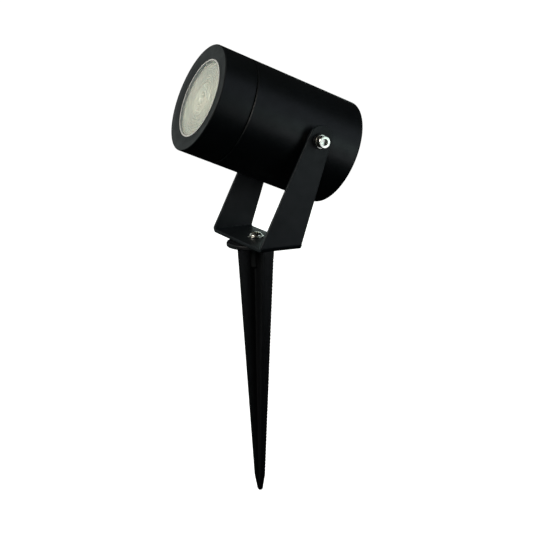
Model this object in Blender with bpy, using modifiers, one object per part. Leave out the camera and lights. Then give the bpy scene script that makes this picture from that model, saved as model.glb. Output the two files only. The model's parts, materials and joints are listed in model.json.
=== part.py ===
"""Garden spotlight on a ground spike: one GU10 lamp in a tiltable aluminium head.

Metres, +Z up. The origin is on the spike's axis at ground level, the flange's underside. The lamp shines
towards -Y and upwards, so +X is its own left side. Head pieces are made in the head's frame: origin on the
tilt axis, +Z forwards along the beam, +Y upwards.
"""

import math

import bmesh
import bpy
from mathutils import Matrix, Vector

MM = 0.001
GAP = 0.3 * MM                      # left between pieces that touch
FINE_GAP = 0.2 * MM                 # left inside the screw stacks and threads
OVERRUN = 1.0 * MM                  # how far a cutter passes the face that it opens

# Ground spike
FLANGE_RADIUS = 17.3 * MM
FLANGE_THICKNESS = 3.0 * MM
FLANGE_EDGE = 0.8 * MM
SEAT_RADIUS = 11.0 * MM
SEAT_HEIGHT = 0.9 * MM
RIB_THICKNESS = 2.2 * MM
RIB_REACH_TOP = 11.5 * MM
RIB_REACH_LOW = 3.3 * MM
POINT_TOP_Z = -142.8 * MM
POINT_TIP_Z = -153.6 * MM
POINT_RADIUS = 1.5 * MM
BOSS_RADIUS = 4.4 * MM
BOSS_DEPTH = 11.5 * MM
INSERT_RADIUS = 2.9 * MM
INSERT_LENGTH = 8.0 * MM

# Yoke, one bent sheet
SHEET = 2.0 * MM
YOKE_HALF_WIDTH = 36.5 * MM
YOKE_DEPTH = 25.1 * MM
BEND_RADIUS = 3.0 * MM              # outside of the bend
YOKE_END_RADIUS = 7.0 * MM
YOKE_END_PAST_PIVOT = 2.0 * MM
PLATE_Z = FLANGE_THICKNESS + SEAT_HEIGHT + GAP
PIVOT_Y = 24.2 * MM
PIVOT_Z = PLATE_Z + 60.0 * MM

# M4 fasteners
M4_RADIUS = 1.95 * MM
M4_HOLE = 2.25 * MM
M4_THREAD_HOLE = M4_RADIUS + FINE_GAP
CAP_HEAD_RADIUS = 3.5 * MM
CAP_HEAD_HEIGHT = 3.9 * MM
CAP_SOCKET_DEPTH = 2.0 * MM
CAP_SOCKET_RADIUS = 1.75 * MM       # to the hexagon's corners
PIVOT_SCREW_LENGTH = 12.0 * MM
BUTTON_HEAD_RADIUS = 3.8 * MM
BUTTON_HEAD_HEIGHT = 1.8 * MM
BASE_SCREW_LENGTH = 9.0 * MM
FLAT_WASHER_RADIUS = 4.5 * MM
FLAT_WASHER_THICKNESS = 0.7 * MM
BASE_WASHER_RADIUS = 4.8 * MM
BASE_WASHER_THICKNESS = 0.5 * MM
SPRING_WASHER_RADIUS = 3.8 * MM
SPRING_WASHER_THICKNESS = 0.8 * MM
SPRING_WASHER_SPLIT = 0.8 * MM
SPACER_RADIUS = 5.6 * MM
SPACER_THICKNESS = 1.0 * MM

# Head
TILT = math.radians(23.0)           # the beam above the horizontal, at rest
HEAD_RADIUS = 31.5 * MM
HEAD_FRONT = 63.2 * MM
HEAD_REAR = -28.6 * MM
HEAD_WALL = 3.0 * MM
HEAD_BORE = HEAD_RADIUS - HEAD_WALL
EDGE_ROUND = 0.6 * MM
REAR_ROUND = 1.2 * MM
REAR_WALL_DEPTH = 8.8 * MM          # how far the rear wall is set in
REAR_WALL_THICKNESS = 3.0 * MM
BEZEL_LENGTH = 19.9 * MM
BEZEL_APERTURE = 23.0 * MM
APERTURE_BEVEL = 1.6 * MM           # outwards from the aperture
APERTURE_BEVEL_DEPTH = 0.7 * MM
BEZEL_LIP = 1.0 * MM
NECK_RADIUS = 28.6 * MM
NECK_BORE = 26.0 * MM
BEZEL_BORE = NECK_RADIUS + GAP
COLLAR_LENGTH = 4.0 * MM            # thick ring behind the neck
GLASS_RADIUS = 28.2 * MM
GLASS_THICKNESS = 3.0 * MM
GLASS_EDGE = 0.4 * MM
GASKET_BORE = 25.3 * MM
GASKET_THICKNESS = 2.0 * MM
ORING_RADIUS = 28.05 * MM
ORING_SECTION = 0.7 * MM
ORING_GROOVE_RADIUS = 27.2 * MM
ORING_GROOVE_WIDTH = 2.0 * MM
ORING_GROOVE_FROM_SHOULDER = 1.2 * MM
SIDE_BOSS_RADIUS = 6.0 * MM
SIDE_BOSS_INNER_RADIUS = 5.0 * MM
SIDE_BOSS_INNER_X = 26.0 * MM

# Lamp
LAMP_RADIUS = 25.0 * MM
LAMP_LENGTH = 47.0 * MM             # without its pins
LAMP_RIM_LENGTH = 8.0 * MM
LAMP_WALL = 1.0 * MM
LAMP_REAR_RADIUS = 12.5 * MM
LAMP_BASE_RADIUS = 10.5 * MM
LAMP_BASE_LENGTH = 11.0 * MM
OPTIC_RADIUS = 23.6 * MM
OPTIC_THICKNESS = 2.2 * MM
OPTIC_DOME = 0.5 * MM
OPTIC_LEDGE = 1.2 * MM
BOARD_RADIUS = 16.5 * MM
BOARD_THICKNESS = 1.6 * MM
PIN_SPACING = 10.0 * MM
PIN_LENGTH = 7.0 * MM
PIN_NECK_RADIUS = 1.5 * MM
PIN_HEAD_RADIUS = 2.5 * MM
PIN_HEAD_LENGTH = 2.8 * MM
PIN_ROOT = 4.0 * MM                 # held in the lamp's base
LAMP_TWIST = math.radians(20.0)

# Lamp holder, its bracket and the wiring
HOLDER_RADIUS = 12.0 * MM
HOLDER_LENGTH = 16.8 * MM
HOLDER_FACE = 3.0 * MM
HOLDER_CAVITY_DEPTH = 8.5 * MM
KEYHOLE_CLEARANCE = 0.35 * MM
WIRE_HOLE_RADIUS = 1.5 * MM
CONTACT_WIDTH = 3.0 * MM
CONTACT_THICKNESS = 0.5 * MM
STRIP_THICKNESS = 1.2 * MM
STRIP_HALF_LENGTH = 22.5 * MM
STRIP_HALF_WIDTH = 6.5 * MM
STRIP_DROP = 14.0 * MM              # below the axis, to the terminal block's tongue
TONGUE_HALF_WIDTH = 8.0 * MM
TONGUE_LENGTH = 13.0 * MM
TONGUE_INSET = 0.4 * MM             # in from the strip's own edges
POST_X = 19.0 * MM
POST_RADIUS = 3.4 * MM
M3_RADIUS = 1.4 * MM
M3_HOLE = 1.7 * MM
M3_HEAD_RADIUS = 2.6 * MM
M3_HEAD_HEIGHT = 1.8 * MM
M3_LENGTH = 6.0 * MM
HOLDER_SCREW_Y = 8.5 * MM
TERMINAL_SIZE = (22.0 * MM, 9.6 * MM, 13.0 * MM)
TERMINAL_PITCH = 8.0 * MM
CLAMP_RADIUS = 1.6 * MM
CLAMP_BORE = 1.1 * MM
CLAMP_LENGTH = 9.0 * MM
LEAD_RADIUS = 0.8 * MM
EARTH_POST_XY = (14.0 * MM, -17.5 * MM)
EARTH_POST_RADIUS = 3.0 * MM
EARTH_POST_HEIGHT = 4.0 * MM
EARTH_TAG_RADIUS = 2.9 * MM
EARTH_TAG_THICKNESS = 0.8 * MM

# Cable gland, M12
GLAND_THREAD_RADIUS = 5.9 * MM
GLAND_WALL_HOLE = 6.2 * MM
GLAND_BORE = 3.6 * MM
GLAND_HEX_RADIUS = 8.6 * MM         # to the corners
GLAND_FLANGE = 3.4 * MM
GLAND_COLLAR_RADIUS = 6.1 * MM
GLAND_COLLAR_LENGTH = 5.6 * MM
GLAND_NUT_LENGTH = 8.6 * MM
GLAND_NUT_HEX = 5.0 * MM
GLAND_NUT_MOUTH = 4.2 * MM
LOCK_NUT_THICKNESS = 3.0 * MM
SEALING_RING = 1.0 * MM
SEAL_LENGTH = 4.6 * MM
SEAL_RADIUS = 4.7 * MM
SEAL_BORE = 3.1 * MM

FINE_STEPS = 54                     # round the large turned pieces
MEDIUM_STEPS = 36
SMALL_STEPS = 20
COARSE_STEPS = 16
TINY_STEPS = 12                     # round inner screws, pins and their holes

# Stations along the head's axis, from the tilt axis forwards
SHOULDER_Z = HEAD_FRONT - BEZEL_LENGTH - GAP
GLASS_FRONT_Z = HEAD_FRONT - BEZEL_LIP - FINE_GAP
GLASS_REAR_Z = GLASS_FRONT_Z - GLASS_THICKNESS
GASKET_FRONT_Z = GLASS_REAR_Z - FINE_GAP
GASKET_REAR_Z = GASKET_FRONT_Z - GASKET_THICKNESS
NECK_FRONT_Z = GASKET_REAR_Z - GAP
LAMP_FRONT_Z = GLASS_REAR_Z - GAP
LAMP_REAR_Z = LAMP_FRONT_Z - LAMP_LENGTH
HOLDER_FRONT_Z = LAMP_REAR_Z - 2.0 * GAP
HOLDER_REAR_Z = HOLDER_FRONT_Z - HOLDER_LENGTH
STRIP_FRONT_Z = HOLDER_REAR_Z - GAP
STRIP_REAR_Z = STRIP_FRONT_Z - STRIP_THICKNESS
POST_TOP_Z = STRIP_REAR_Z - GAP
REAR_WALL_OUTER_Z = HEAD_REAR + REAR_WALL_DEPTH
REAR_WALL_INNER_Z = REAR_WALL_OUTER_Z + REAR_WALL_THICKNESS
EARTH_POST_TOP_Z = REAR_WALL_INNER_Z + EARTH_POST_HEIGHT
EARTH_BARREL_X = EARTH_POST_XY[0] - 6.6 * MM
TERMINAL_TOP_Y = -STRIP_DROP - GAP
TERMINAL_WAY_Y = TERMINAL_TOP_Y - TERMINAL_SIZE[1] / 2.0
TERMINAL_MIDDLE_Z = STRIP_FRONT_Z + GAP + TERMINAL_SIZE[2] / 2.0
CLAMP_LOW_Z = TERMINAL_MIDDLE_Z - CLAMP_LENGTH / 2.0

# Stations along the tilt axis, outwards from the middle plane
YOKE_INNER_X = YOKE_HALF_WIDTH - SHEET
SPACER_OUTER_X = YOKE_INNER_X - GAP
SPACER_INNER_X = SPACER_OUTER_X - SPACER_THICKNESS
SIDE_BOSS_X = SPACER_INNER_X - GAP
FLAT_WASHER_X = YOKE_HALF_WIDTH + FINE_GAP
SPRING_WASHER_X = FLAT_WASHER_X + FLAT_WASHER_THICKNESS + FINE_GAP
CAP_HEAD_X = SPRING_WASHER_X + SPRING_WASHER_THICKNESS + FINE_GAP

for old in list(bpy.data.objects):
    bpy.data.objects.remove(old, do_unlink=True)

parts = bpy.data.collections.new("garden_spotlight")
bpy.context.scene.collection.children.link(parts)
cutters = bpy.data.collections.new("cutters")
bpy.context.scene.collection.children.link(cutters)


def material(name, colour, roughness, metallic=0.0):
    """A plain Principled material."""
    made = bpy.data.materials.new(name)
    made.use_nodes = True
    shader = made.node_tree.nodes["Principled BSDF"]
    shader.inputs["Base Color"].default_value = (*colour, 1.0)
    shader.inputs["Roughness"].default_value = roughness
    shader.inputs["Metallic"].default_value = metallic
    made.diffuse_color = (*colour, 1.0)
    return made


BLACK_COATED = material("black_coated_aluminium", (0.012, 0.014, 0.016), 0.45)
BLACK_STEEL = material("black_coated_steel", (0.014, 0.017, 0.019), 0.5)
BLACK_NYLON = material("black_nylon", (0.010, 0.010, 0.011), 0.55)
BLACK_RUBBER = material("black_rubber", (0.015, 0.015, 0.015), 0.8)
STAINLESS = material("stainless_steel", (0.62, 0.62, 0.60), 0.25, 1.0)
ZINC_STEEL = material("zinc_plated_steel", (0.55, 0.56, 0.58), 0.4, 1.0)
BRASS = material("brass", (0.66, 0.47, 0.19), 0.35, 1.0)
GLASS = material("clear_glass", (0.80, 0.84, 0.82), 0.05)
OPTIC = material("clear_acrylic", (0.68, 0.70, 0.65), 0.15)
LAMP_WHITE = material("white_polyester", (0.75, 0.75, 0.73), 0.5)
CERAMIC = material("steatite", (0.80, 0.78, 0.72), 0.6)
NYLON_WHITE = material("natural_nylon", (0.72, 0.70, 0.64), 0.5)
BOARD_WHITE = material("board_white", (0.82, 0.82, 0.80), 0.6)
SILICONE_WHITE = material("silicone_white", (0.70, 0.70, 0.67), 0.6)
SILICONE_BROWN = material("silicone_brown", (0.16, 0.06, 0.03), 0.6)
SILICONE_BLUE = material("silicone_blue", (0.04, 0.10, 0.32), 0.6)
SILICONE_GREEN = material("silicone_green", (0.10, 0.30, 0.05), 0.6)


def empty(name, location, rotation=(0.0, 0.0, 0.0), parent=None):
    """A joint's frame: its origin lies on the joint's axis."""
    made = bpy.data.objects.new(name, None)
    made.empty_display_size = 10.0 * MM
    made.location = location
    made.rotation_euler = rotation
    made.parent = parent
    parts.objects.link(made)
    return made


swivel_axis = empty("swivel_axis", (0.0, 0.0, PLATE_Z))
tilt_axis = empty("tilt_axis", (0.0, PIVOT_Y, PIVOT_Z), (math.pi / 2.0 - TILT, 0.0, 0.0))
beam_axis = empty("beam_axis", (0.0, 0.0, 0.0), parent=tilt_axis)
lamp_axis = empty("lamp_axis", (0.0, 0.0, LAMP_REAR_Z), parent=tilt_axis)
gland_axis = empty("gland_axis", (0.0, 0.0, REAR_WALL_OUTER_Z), (math.pi, 0.0, 0.0), parent=tilt_axis)


def add(name, mesh, look, parent=None, location=(0.0, 0.0, 0.0), rotation=(0.0, 0.0, 0.0), cutter=False):
    """A mesh object, as a part or as a cutter."""
    made = bpy.data.objects.new(name, mesh)
    made.location = location
    made.rotation_euler = rotation
    made.parent = parent
    if cutter:
        made.hide_render = True
        made.display_type = "WIRE"
        cutters.objects.link(made)
    else:
        mesh.materials.append(look)
        parts.objects.link(made)
    return made


def arc(centre, radius, start, end, count):
    """Points on an arc in a plane, angles in degrees, both ends included."""
    points = []
    for i in range(count + 1):
        angle = math.radians(start + (end - start) * i / count)
        points.append((centre[0] + radius * math.cos(angle), centre[1] + radius * math.sin(angle)))
    return points


def turned(name, profile, look=None, steps=COARSE_STEPS, **where):
    """A profile of (radius, height), down its outer side, turned about Z. Off the axis, it is a ring."""
    mesh = bpy.data.meshes.new(name)
    on_axis = abs(profile[0][0]) < 1e-9
    edges = [(i, i + 1) for i in range(len(profile) - 1)]
    if not on_axis:
        edges.append((len(profile) - 1, 0))
    mesh.from_pydata([(radius, 0.0, height) for radius, height in profile], edges, [])
    made = add(name, mesh, look, **where)
    screw = made.modifiers.new("turn", "SCREW")
    screw.axis = "Z"
    screw.angle = 2.0 * math.pi
    screw.steps = steps
    screw.render_steps = steps
    screw.use_merge_vertices = True
    screw.merge_threshold = 1e-6
    screw.use_smooth_shade = True
    return made


def ring(name, inner, outer, low, high, look=None, edge=0.0, **where):
    """A plain ring with its outer edges chamfered."""
    profile = [(inner, high), (outer - edge, high)]
    if edge:
        profile.append((outer, high - edge))
        profile.append((outer, low + edge))
    profile.append((outer - edge, low))
    profile.append((inner, low))
    return turned(name, profile, look, **where)


def rod(name, radius, low, high, look=None, edge=0.0, **where):
    """A plain round bar along Z."""
    profile = [(0.0, high), (radius - edge, high)]
    if edge:
        profile.append((radius, high - edge))
        profile.append((radius, low + edge))
    profile.append((radius - edge, low))
    profile.append((0.0, low))
    return turned(name, profile, look, **where)


def solid_of(curve_object):
    """A curve object made a closed mesh object in the same place."""
    bpy.context.view_layer.update()
    seen = curve_object.evaluated_get(bpy.context.evaluated_depsgraph_get())
    mesh = bpy.data.meshes.new_from_object(seen)
    welded = bmesh.new()
    welded.from_mesh(mesh)
    bmesh.ops.remove_doubles(welded, verts=welded.verts, dist=1e-6)
    bmesh.ops.recalc_face_normals(welded, faces=welded.faces)
    welded.to_mesh(mesh)
    welded.free()
    mesh.materials.clear()
    bpy.data.objects.remove(curve_object, do_unlink=True)
    return mesh


def outline_mesh(name, outline, thickness):
    """A flat closed outline in XY, thickened evenly about Z = 0."""
    curve = bpy.data.curves.new(name, "CURVE")
    curve.dimensions = "2D"
    curve.fill_mode = "BOTH"
    curve.extrude = thickness / 2.0
    spline = curve.splines.new("POLY")
    spline.points.add(len(outline) - 1)
    for point, (x, y) in zip(spline.points, outline):
        point.co = (x, y, 0.0, 1.0)
    spline.use_cyclic_u = True
    holder = bpy.data.objects.new(name, curve)
    parts.objects.link(holder)
    return solid_of(holder)


def plate(name, outline, low, high, look=None, **where):
    """A flat outline in XY between two heights."""
    mesh = outline_mesh(name, outline, high - low)
    mesh.transform(Matrix.Translation((0.0, 0.0, (low + high) / 2.0)))
    return add(name, mesh, look, **where)


def block(name, low, high, look=None, edge=0.0, **where):
    """A box between two corners, its edges bevelled."""
    mesh = bpy.data.meshes.new(name)
    cage = bmesh.new()
    bmesh.ops.create_cube(cage, size=1.0)
    size = Vector(high) - Vector(low)
    middle = (Vector(high) + Vector(low)) / 2.0
    bmesh.ops.scale(cage, vec=size, verts=cage.verts)
    bmesh.ops.translate(cage, vec=middle, verts=cage.verts)
    cage.to_mesh(mesh)
    cage.free()
    made = add(name, mesh, look, **where)
    if edge:
        bevel = made.modifiers.new("edges", "BEVEL")
        bevel.width = edge
        bevel.segments = 1
        bevel.limit_method = "NONE"
    return made


def wire(name, points, radius, look, **where):
    """A lead through the given points, on one smooth curve."""
    curve = bpy.data.curves.new(name, "CURVE")
    curve.dimensions = "3D"
    curve.bevel_depth = radius
    curve.bevel_resolution = 2
    curve.use_fill_caps = True
    track = smooth_route(points)
    spline = curve.splines.new("POLY")
    spline.points.add(len(track) - 1)
    for point, place in zip(spline.points, track):
        point.co = (*place, 1.0)
    holder = bpy.data.objects.new(name, curve)
    parts.objects.link(holder)
    return add(name, solid_of(holder), look, **where)


def smooth_route(points, per_span=3):
    """Points on a Catmull-Rom curve through the given ones."""
    knots = [Vector(p) for p in points]
    knots = [2.0 * knots[0] - knots[1]] + knots + [2.0 * knots[-1] - knots[-2]]
    route = []
    for k in range(1, len(knots) - 2):
        before, start, end, after = knots[k - 1:k + 3]
        for i in range(per_span):
            t = i / per_span
            route.append(0.5 * (2.0 * start + (end - before) * t
                                + (2.0 * before - 5.0 * start + 4.0 * end - after) * t ** 2
                                + (3.0 * start - before - 3.0 * end + after) * t ** 3))
    route.append(knots[-2])
    return route


def hexagon(radius):
    """A hexagon's corners, at this radius."""
    return arc((0.0, 0.0), radius, 0.0, 300.0, 5)


def change(target, tool, operation):
    """A Boolean of target by tool."""
    step = target.modifiers.new(operation.lower() + "_" + tool.name, "BOOLEAN")
    step.operation = operation
    step.object = tool
    step.solver = "EXACT"
    return target


def cut(target, *tools):
    """Each tool cut out of target."""
    for tool in tools:
        change(target, tool, "DIFFERENCE")


def join(target, *tools):
    """Each tool joined to target."""
    for tool in tools:
        change(target, tool, "UNION")


def along_x(side):
    """A rotation that turns +Z to +X or -X of the same parent."""
    return (0.0, side * math.pi / 2.0, 0.0)


# Ground spike -------------------------------------------------------------------------------------

def blade_outline():
    """One blade of the spike, in its own plane: wide at the flange, a rounded point below."""
    inside_flange = FLANGE_THICKNESS / 2.0
    slope = math.atan2(RIB_REACH_LOW - POINT_RADIUS, POINT_TOP_Z - POINT_TIP_Z - POINT_RADIUS)
    angle = math.degrees(slope)
    right = [(RIB_REACH_TOP, inside_flange), (RIB_REACH_TOP, 0.0), (RIB_REACH_LOW, POINT_TOP_Z)]
    tip = arc((0.0, POINT_TIP_Z + POINT_RADIUS), POINT_RADIUS, -angle, angle - 180.0, 8)
    left = [(-x, z) for x, z in reversed(right)]
    return right + tip + left


def ground_spike():
    """Flange with its raised seat, screw boss, and four ribs that taper to the point."""
    seat_z = FLANGE_THICKNESS + SEAT_HEIGHT
    profile = [(0.0, seat_z), (SEAT_RADIUS, seat_z), (SEAT_RADIUS, FLANGE_THICKNESS)]
    profile += arc((FLANGE_RADIUS - FLANGE_EDGE, FLANGE_THICKNESS - FLANGE_EDGE), FLANGE_EDGE, 90.0, 0.0, 3)
    profile += arc((FLANGE_RADIUS - FLANGE_EDGE, FLANGE_EDGE), FLANGE_EDGE, 0.0, -90.0, 3)
    profile.append((BOSS_RADIUS, 0.0))
    profile.append((BOSS_RADIUS - 0.5 * MM, -BOSS_DEPTH))
    profile.append((0.0, -BOSS_DEPTH))
    spike = turned("ground_spike", profile, BLACK_NYLON, steps=MEDIUM_STEPS)
    upright = (math.pi / 2.0, 0.0, 0.0)
    half = RIB_THICKNESS / 2.0
    along = plate("blade_x", blade_outline(), -half, half, rotation=upright, cutter=True)
    across = plate("blade_y", blade_outline(), -half, half, rotation=(math.pi / 2.0, 0.0, math.pi / 2.0),
                   cutter=True)
    join(spike, along, across)
    hole_depth = seat_z - GAP - INSERT_LENGTH - 1.0 * MM
    cut(spike, rod("insert_hole", INSERT_RADIUS + FINE_GAP, hole_depth, seat_z + OVERRUN, cutter=True))


def spike_fasteners():
    """Threaded insert, base screw and its washer."""
    seat_z = FLANGE_THICKNESS + SEAT_HEIGHT
    top = seat_z - GAP
    ring("threaded_insert", M4_THREAD_HOLE, INSERT_RADIUS, top - INSERT_LENGTH, top, BRASS, edge=0.3 * MM)
    washer_z = PLATE_Z + SHEET + FINE_GAP
    washer_top = washer_z + BASE_WASHER_THICKNESS
    ring("base_washer", M4_HOLE, BASE_WASHER_RADIUS, washer_z, washer_top, STAINLESS, edge=0.1 * MM,
         steps=SMALL_STEPS)
    head_z = washer_top + FINE_GAP
    crown = 2.4 * MM
    skirt = 0.5 * MM
    profile = [(0.0, BUTTON_HEAD_HEIGHT), (crown, BUTTON_HEAD_HEIGHT)]
    profile += [(BUTTON_HEAD_RADIUS - 0.4 * MM, 1.2 * MM), (BUTTON_HEAD_RADIUS, skirt),
                (BUTTON_HEAD_RADIUS, 0.0)]
    profile += [(M4_RADIUS, 0.0), (M4_RADIUS, -BASE_SCREW_LENGTH), (0.0, -BASE_SCREW_LENGTH)]
    screw = turned("base_screw", profile, STAINLESS, steps=SMALL_STEPS, location=(0.0, 0.0, head_z))
    socket = plate("base_socket", hexagon(CAP_SOCKET_RADIUS - 0.2 * MM), BUTTON_HEAD_HEIGHT - 1.2 * MM,
                   BUTTON_HEAD_HEIGHT + OVERRUN, location=(0.0, 0.0, head_z), cutter=True)
    cut(screw, socket)


# Yoke ---------------------------------------------------------------------------------------------

def yoke():
    """A channel of sheet, trimmed to the side outline of the slanted arms, with its three holes."""
    bend = BEND_RADIUS
    top = PIVOT_Z - PLATE_Z + 15.0 * MM
    edge = YOKE_HALF_WIDTH
    right = [(edge, top)] + arc((edge - bend, bend), bend, 0.0, -90.0, 6)
    section = right + [(-x, z) for x, z in reversed(right)]
    half_depth = PIVOT_Y + 20.0 * MM
    mesh = bpy.data.meshes.new("yoke")
    rows = [(x, y, z) for y in (-half_depth, half_depth) for x, z in section]
    count = len(section)
    faces = [(i, i + 1, count + i + 1, count + i) for i in range(count - 1)]
    mesh.from_pydata(rows, [], faces)
    made = add("yoke", mesh, BLACK_STEEL, parent=swivel_axis)
    shell = made.modifiers.new("sheet", "SOLIDIFY")
    shell.thickness = SHEET
    shell.offset = -1.0
    shell.use_even_offset = True
    shape = plate("yoke_side", yoke_outline(), -2.0 * edge, 2.0 * edge, parent=swivel_axis,
                  rotation=(math.pi / 2.0, 0.0, math.pi / 2.0), cutter=True)
    change(made, shape, "INTERSECT")
    pivot_hole = rod("yoke_pivot_hole", M4_HOLE, -2.0 * edge, 2.0 * edge, parent=tilt_axis,
                     rotation=along_x(1), cutter=True)
    base_hole = rod("yoke_base_hole", M4_HOLE, -5.0 * MM, 5.0 * MM, parent=swivel_axis, cutter=True)
    cut(made, pivot_hole, base_hole)


def yoke_outline():
    """Side view in YZ from the plate's underside: a straight base, then a taper to the round ends."""
    pivot = Vector((PIVOT_Y, PIVOT_Z - PLATE_Z))
    centre = pivot + pivot.normalized() * YOKE_END_PAST_PIVOT
    corner = Vector((YOKE_DEPTH / 2.0, BEND_RADIUS))

    def tangent_angle(x_sign):
        """Where the straight edge from a base corner meets the round end, in degrees."""
        away = Vector((x_sign * corner.x, corner.y)) - centre
        spread = math.acos(YOKE_END_RADIUS / away.length)
        return math.degrees(math.atan2(away.y, away.x) + x_sign * spread)

    end = arc(centre, YOKE_END_RADIUS, tangent_angle(1.0), tangent_angle(-1.0) + 360.0, 16)
    base = [(-corner.x, corner.y), (-corner.x, -1.0 * MM), (corner.x, -1.0 * MM), (corner.x, corner.y)]
    return base + end


# Head ---------------------------------------------------------------------------------------------

def housing():
    """Tube with a set-in rear wall, a neck for the bezel, side bosses, and posts for the holder's bracket."""
    collar_z = SHOULDER_Z - COLLAR_LENGTH
    groove_low = SHOULDER_Z + ORING_GROOVE_FROM_SHOULDER
    groove_high = groove_low + ORING_GROOVE_WIDTH
    profile = [(NECK_BORE, NECK_FRONT_Z), (NECK_RADIUS - 0.5 * MM, NECK_FRONT_Z)]
    profile += [(NECK_RADIUS, NECK_FRONT_Z - 0.5 * MM), (NECK_RADIUS, groove_high)]
    profile += [(ORING_GROOVE_RADIUS, groove_high), (ORING_GROOVE_RADIUS, groove_low)]
    profile += [(NECK_RADIUS, groove_low), (NECK_RADIUS, SHOULDER_Z)]
    profile += [(HEAD_RADIUS - 0.3 * MM, SHOULDER_Z), (HEAD_RADIUS, SHOULDER_Z - 0.3 * MM)]
    profile += arc((HEAD_RADIUS - REAR_ROUND, HEAD_REAR + REAR_ROUND), REAR_ROUND, 0.0, -90.0, 4)
    profile += [(HEAD_BORE, HEAD_REAR), (HEAD_BORE, REAR_WALL_OUTER_Z), (GLAND_WALL_HOLE, REAR_WALL_OUTER_Z)]
    profile += [(GLAND_WALL_HOLE, REAR_WALL_INNER_Z), (HEAD_BORE, REAR_WALL_INNER_Z)]
    profile += [(HEAD_BORE, collar_z), (NECK_BORE, collar_z)]
    made = turned("housing", profile, BLACK_COATED, steps=FINE_STEPS, parent=tilt_axis)
    root = REAR_WALL_INNER_Z - 1.0 * MM
    for side, word in ((1, "left"), (-1, "right")):
        turn = along_x(side)
        outer = rod("boss_outer_" + word, SIDE_BOSS_RADIUS, HEAD_BORE + 1.0 * MM, SIDE_BOSS_X,
                    steps=SMALL_STEPS,
                    parent=tilt_axis, rotation=turn, cutter=True)
        inner = rod("boss_inner_" + word, SIDE_BOSS_INNER_RADIUS, SIDE_BOSS_INNER_X, HEAD_BORE + 1.7 * MM,
                    parent=tilt_axis, rotation=turn, cutter=True)
        post = rod("post_" + word, POST_RADIUS, root, POST_TOP_Z, steps=TINY_STEPS, parent=tilt_axis,
                   location=(side * POST_X, 0.0, 0.0), cutter=True)
        join(made, outer, inner, post)
    earth = rod("earth_boss", EARTH_POST_RADIUS, root, EARTH_POST_TOP_Z, steps=TINY_STEPS, parent=tilt_axis,
                location=(*EARTH_POST_XY, 0.0), cutter=True)
    join(made, earth)
    earth_hole = rod("earth_hole", M3_HOLE, EARTH_POST_TOP_Z - M3_LENGTH + 1.0 * MM,
                     EARTH_POST_TOP_Z + OVERRUN,
                     steps=TINY_STEPS, parent=tilt_axis, location=(*EARTH_POST_XY, 0.0), cutter=True)
    cut(made, earth_hole)
    for side, word in ((1, "left"), (-1, "right")):
        post_hole = rod("post_hole_" + word, M3_HOLE, POST_TOP_Z - M3_LENGTH, POST_TOP_Z + OVERRUN,
                        steps=TINY_STEPS, parent=tilt_axis, location=(side * POST_X, 0.0, 0.0), cutter=True)
        cut(made, post_hole)
    for side, word in ((1, "left"), (-1, "right")):
        thread = rod("pivot_thread_" + word, M4_THREAD_HOLE, SIDE_BOSS_INNER_X - OVERRUN,
                     SIDE_BOSS_X + OVERRUN,
                     parent=tilt_axis, rotation=along_x(side), cutter=True)
        cut(made, thread)


def pivot_hardware():
    """Cap screw, spring washer, flat washer and friction spacer on each side."""
    for side, word in ((1, "left"), (-1, "right")):
        turn = along_x(side)
        place = {"parent": tilt_axis, "rotation": turn}
        ring("pivot_spacer_" + word, M4_HOLE, SPACER_RADIUS, SPACER_INNER_X, SPACER_OUTER_X, NYLON_WHITE,
             edge=0.2 * MM, steps=SMALL_STEPS, **place)
        ring("pivot_flat_washer_" + word, M4_HOLE, FLAT_WASHER_RADIUS, FLAT_WASHER_X,
             FLAT_WASHER_X + FLAT_WASHER_THICKNESS, BLACK_NYLON, edge=0.1 * MM, steps=SMALL_STEPS, **place)
        spring = ring("pivot_spring_washer_" + word, M4_HOLE, SPRING_WASHER_RADIUS, SPRING_WASHER_X,
                      SPRING_WASHER_X + SPRING_WASHER_THICKNESS, STAINLESS, steps=SMALL_STEPS, **place)
        half = SPRING_WASHER_SPLIT / 2.0
        split = block("washer_split_" + word, (0.0, -half, SPRING_WASHER_X - OVERRUN),
                      (2.0 * SPRING_WASHER_RADIUS, half, SPRING_WASHER_X + 2.0 * MM), cutter=True, **place)
        cut(spring, split)
        head_top = CAP_HEAD_X + CAP_HEAD_HEIGHT
        tip = CAP_HEAD_X - PIVOT_SCREW_LENGTH
        edge = 0.4 * MM
        profile = [(0.0, head_top), (CAP_HEAD_RADIUS - edge, head_top), (CAP_HEAD_RADIUS, head_top - edge)]
        profile += [(CAP_HEAD_RADIUS, CAP_HEAD_X), (M4_RADIUS, CAP_HEAD_X)]
        profile += [(M4_RADIUS, tip + edge), (M4_RADIUS - edge, tip), (0.0, tip)]
        screw = turned("pivot_screw_" + word, profile, STAINLESS, steps=SMALL_STEPS, **place)
        socket = plate("pivot_socket_" + word, hexagon(CAP_SOCKET_RADIUS), head_top - CAP_SOCKET_DEPTH,
                       head_top + OVERRUN, cutter=True, **place)
        cut(screw, socket)


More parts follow.
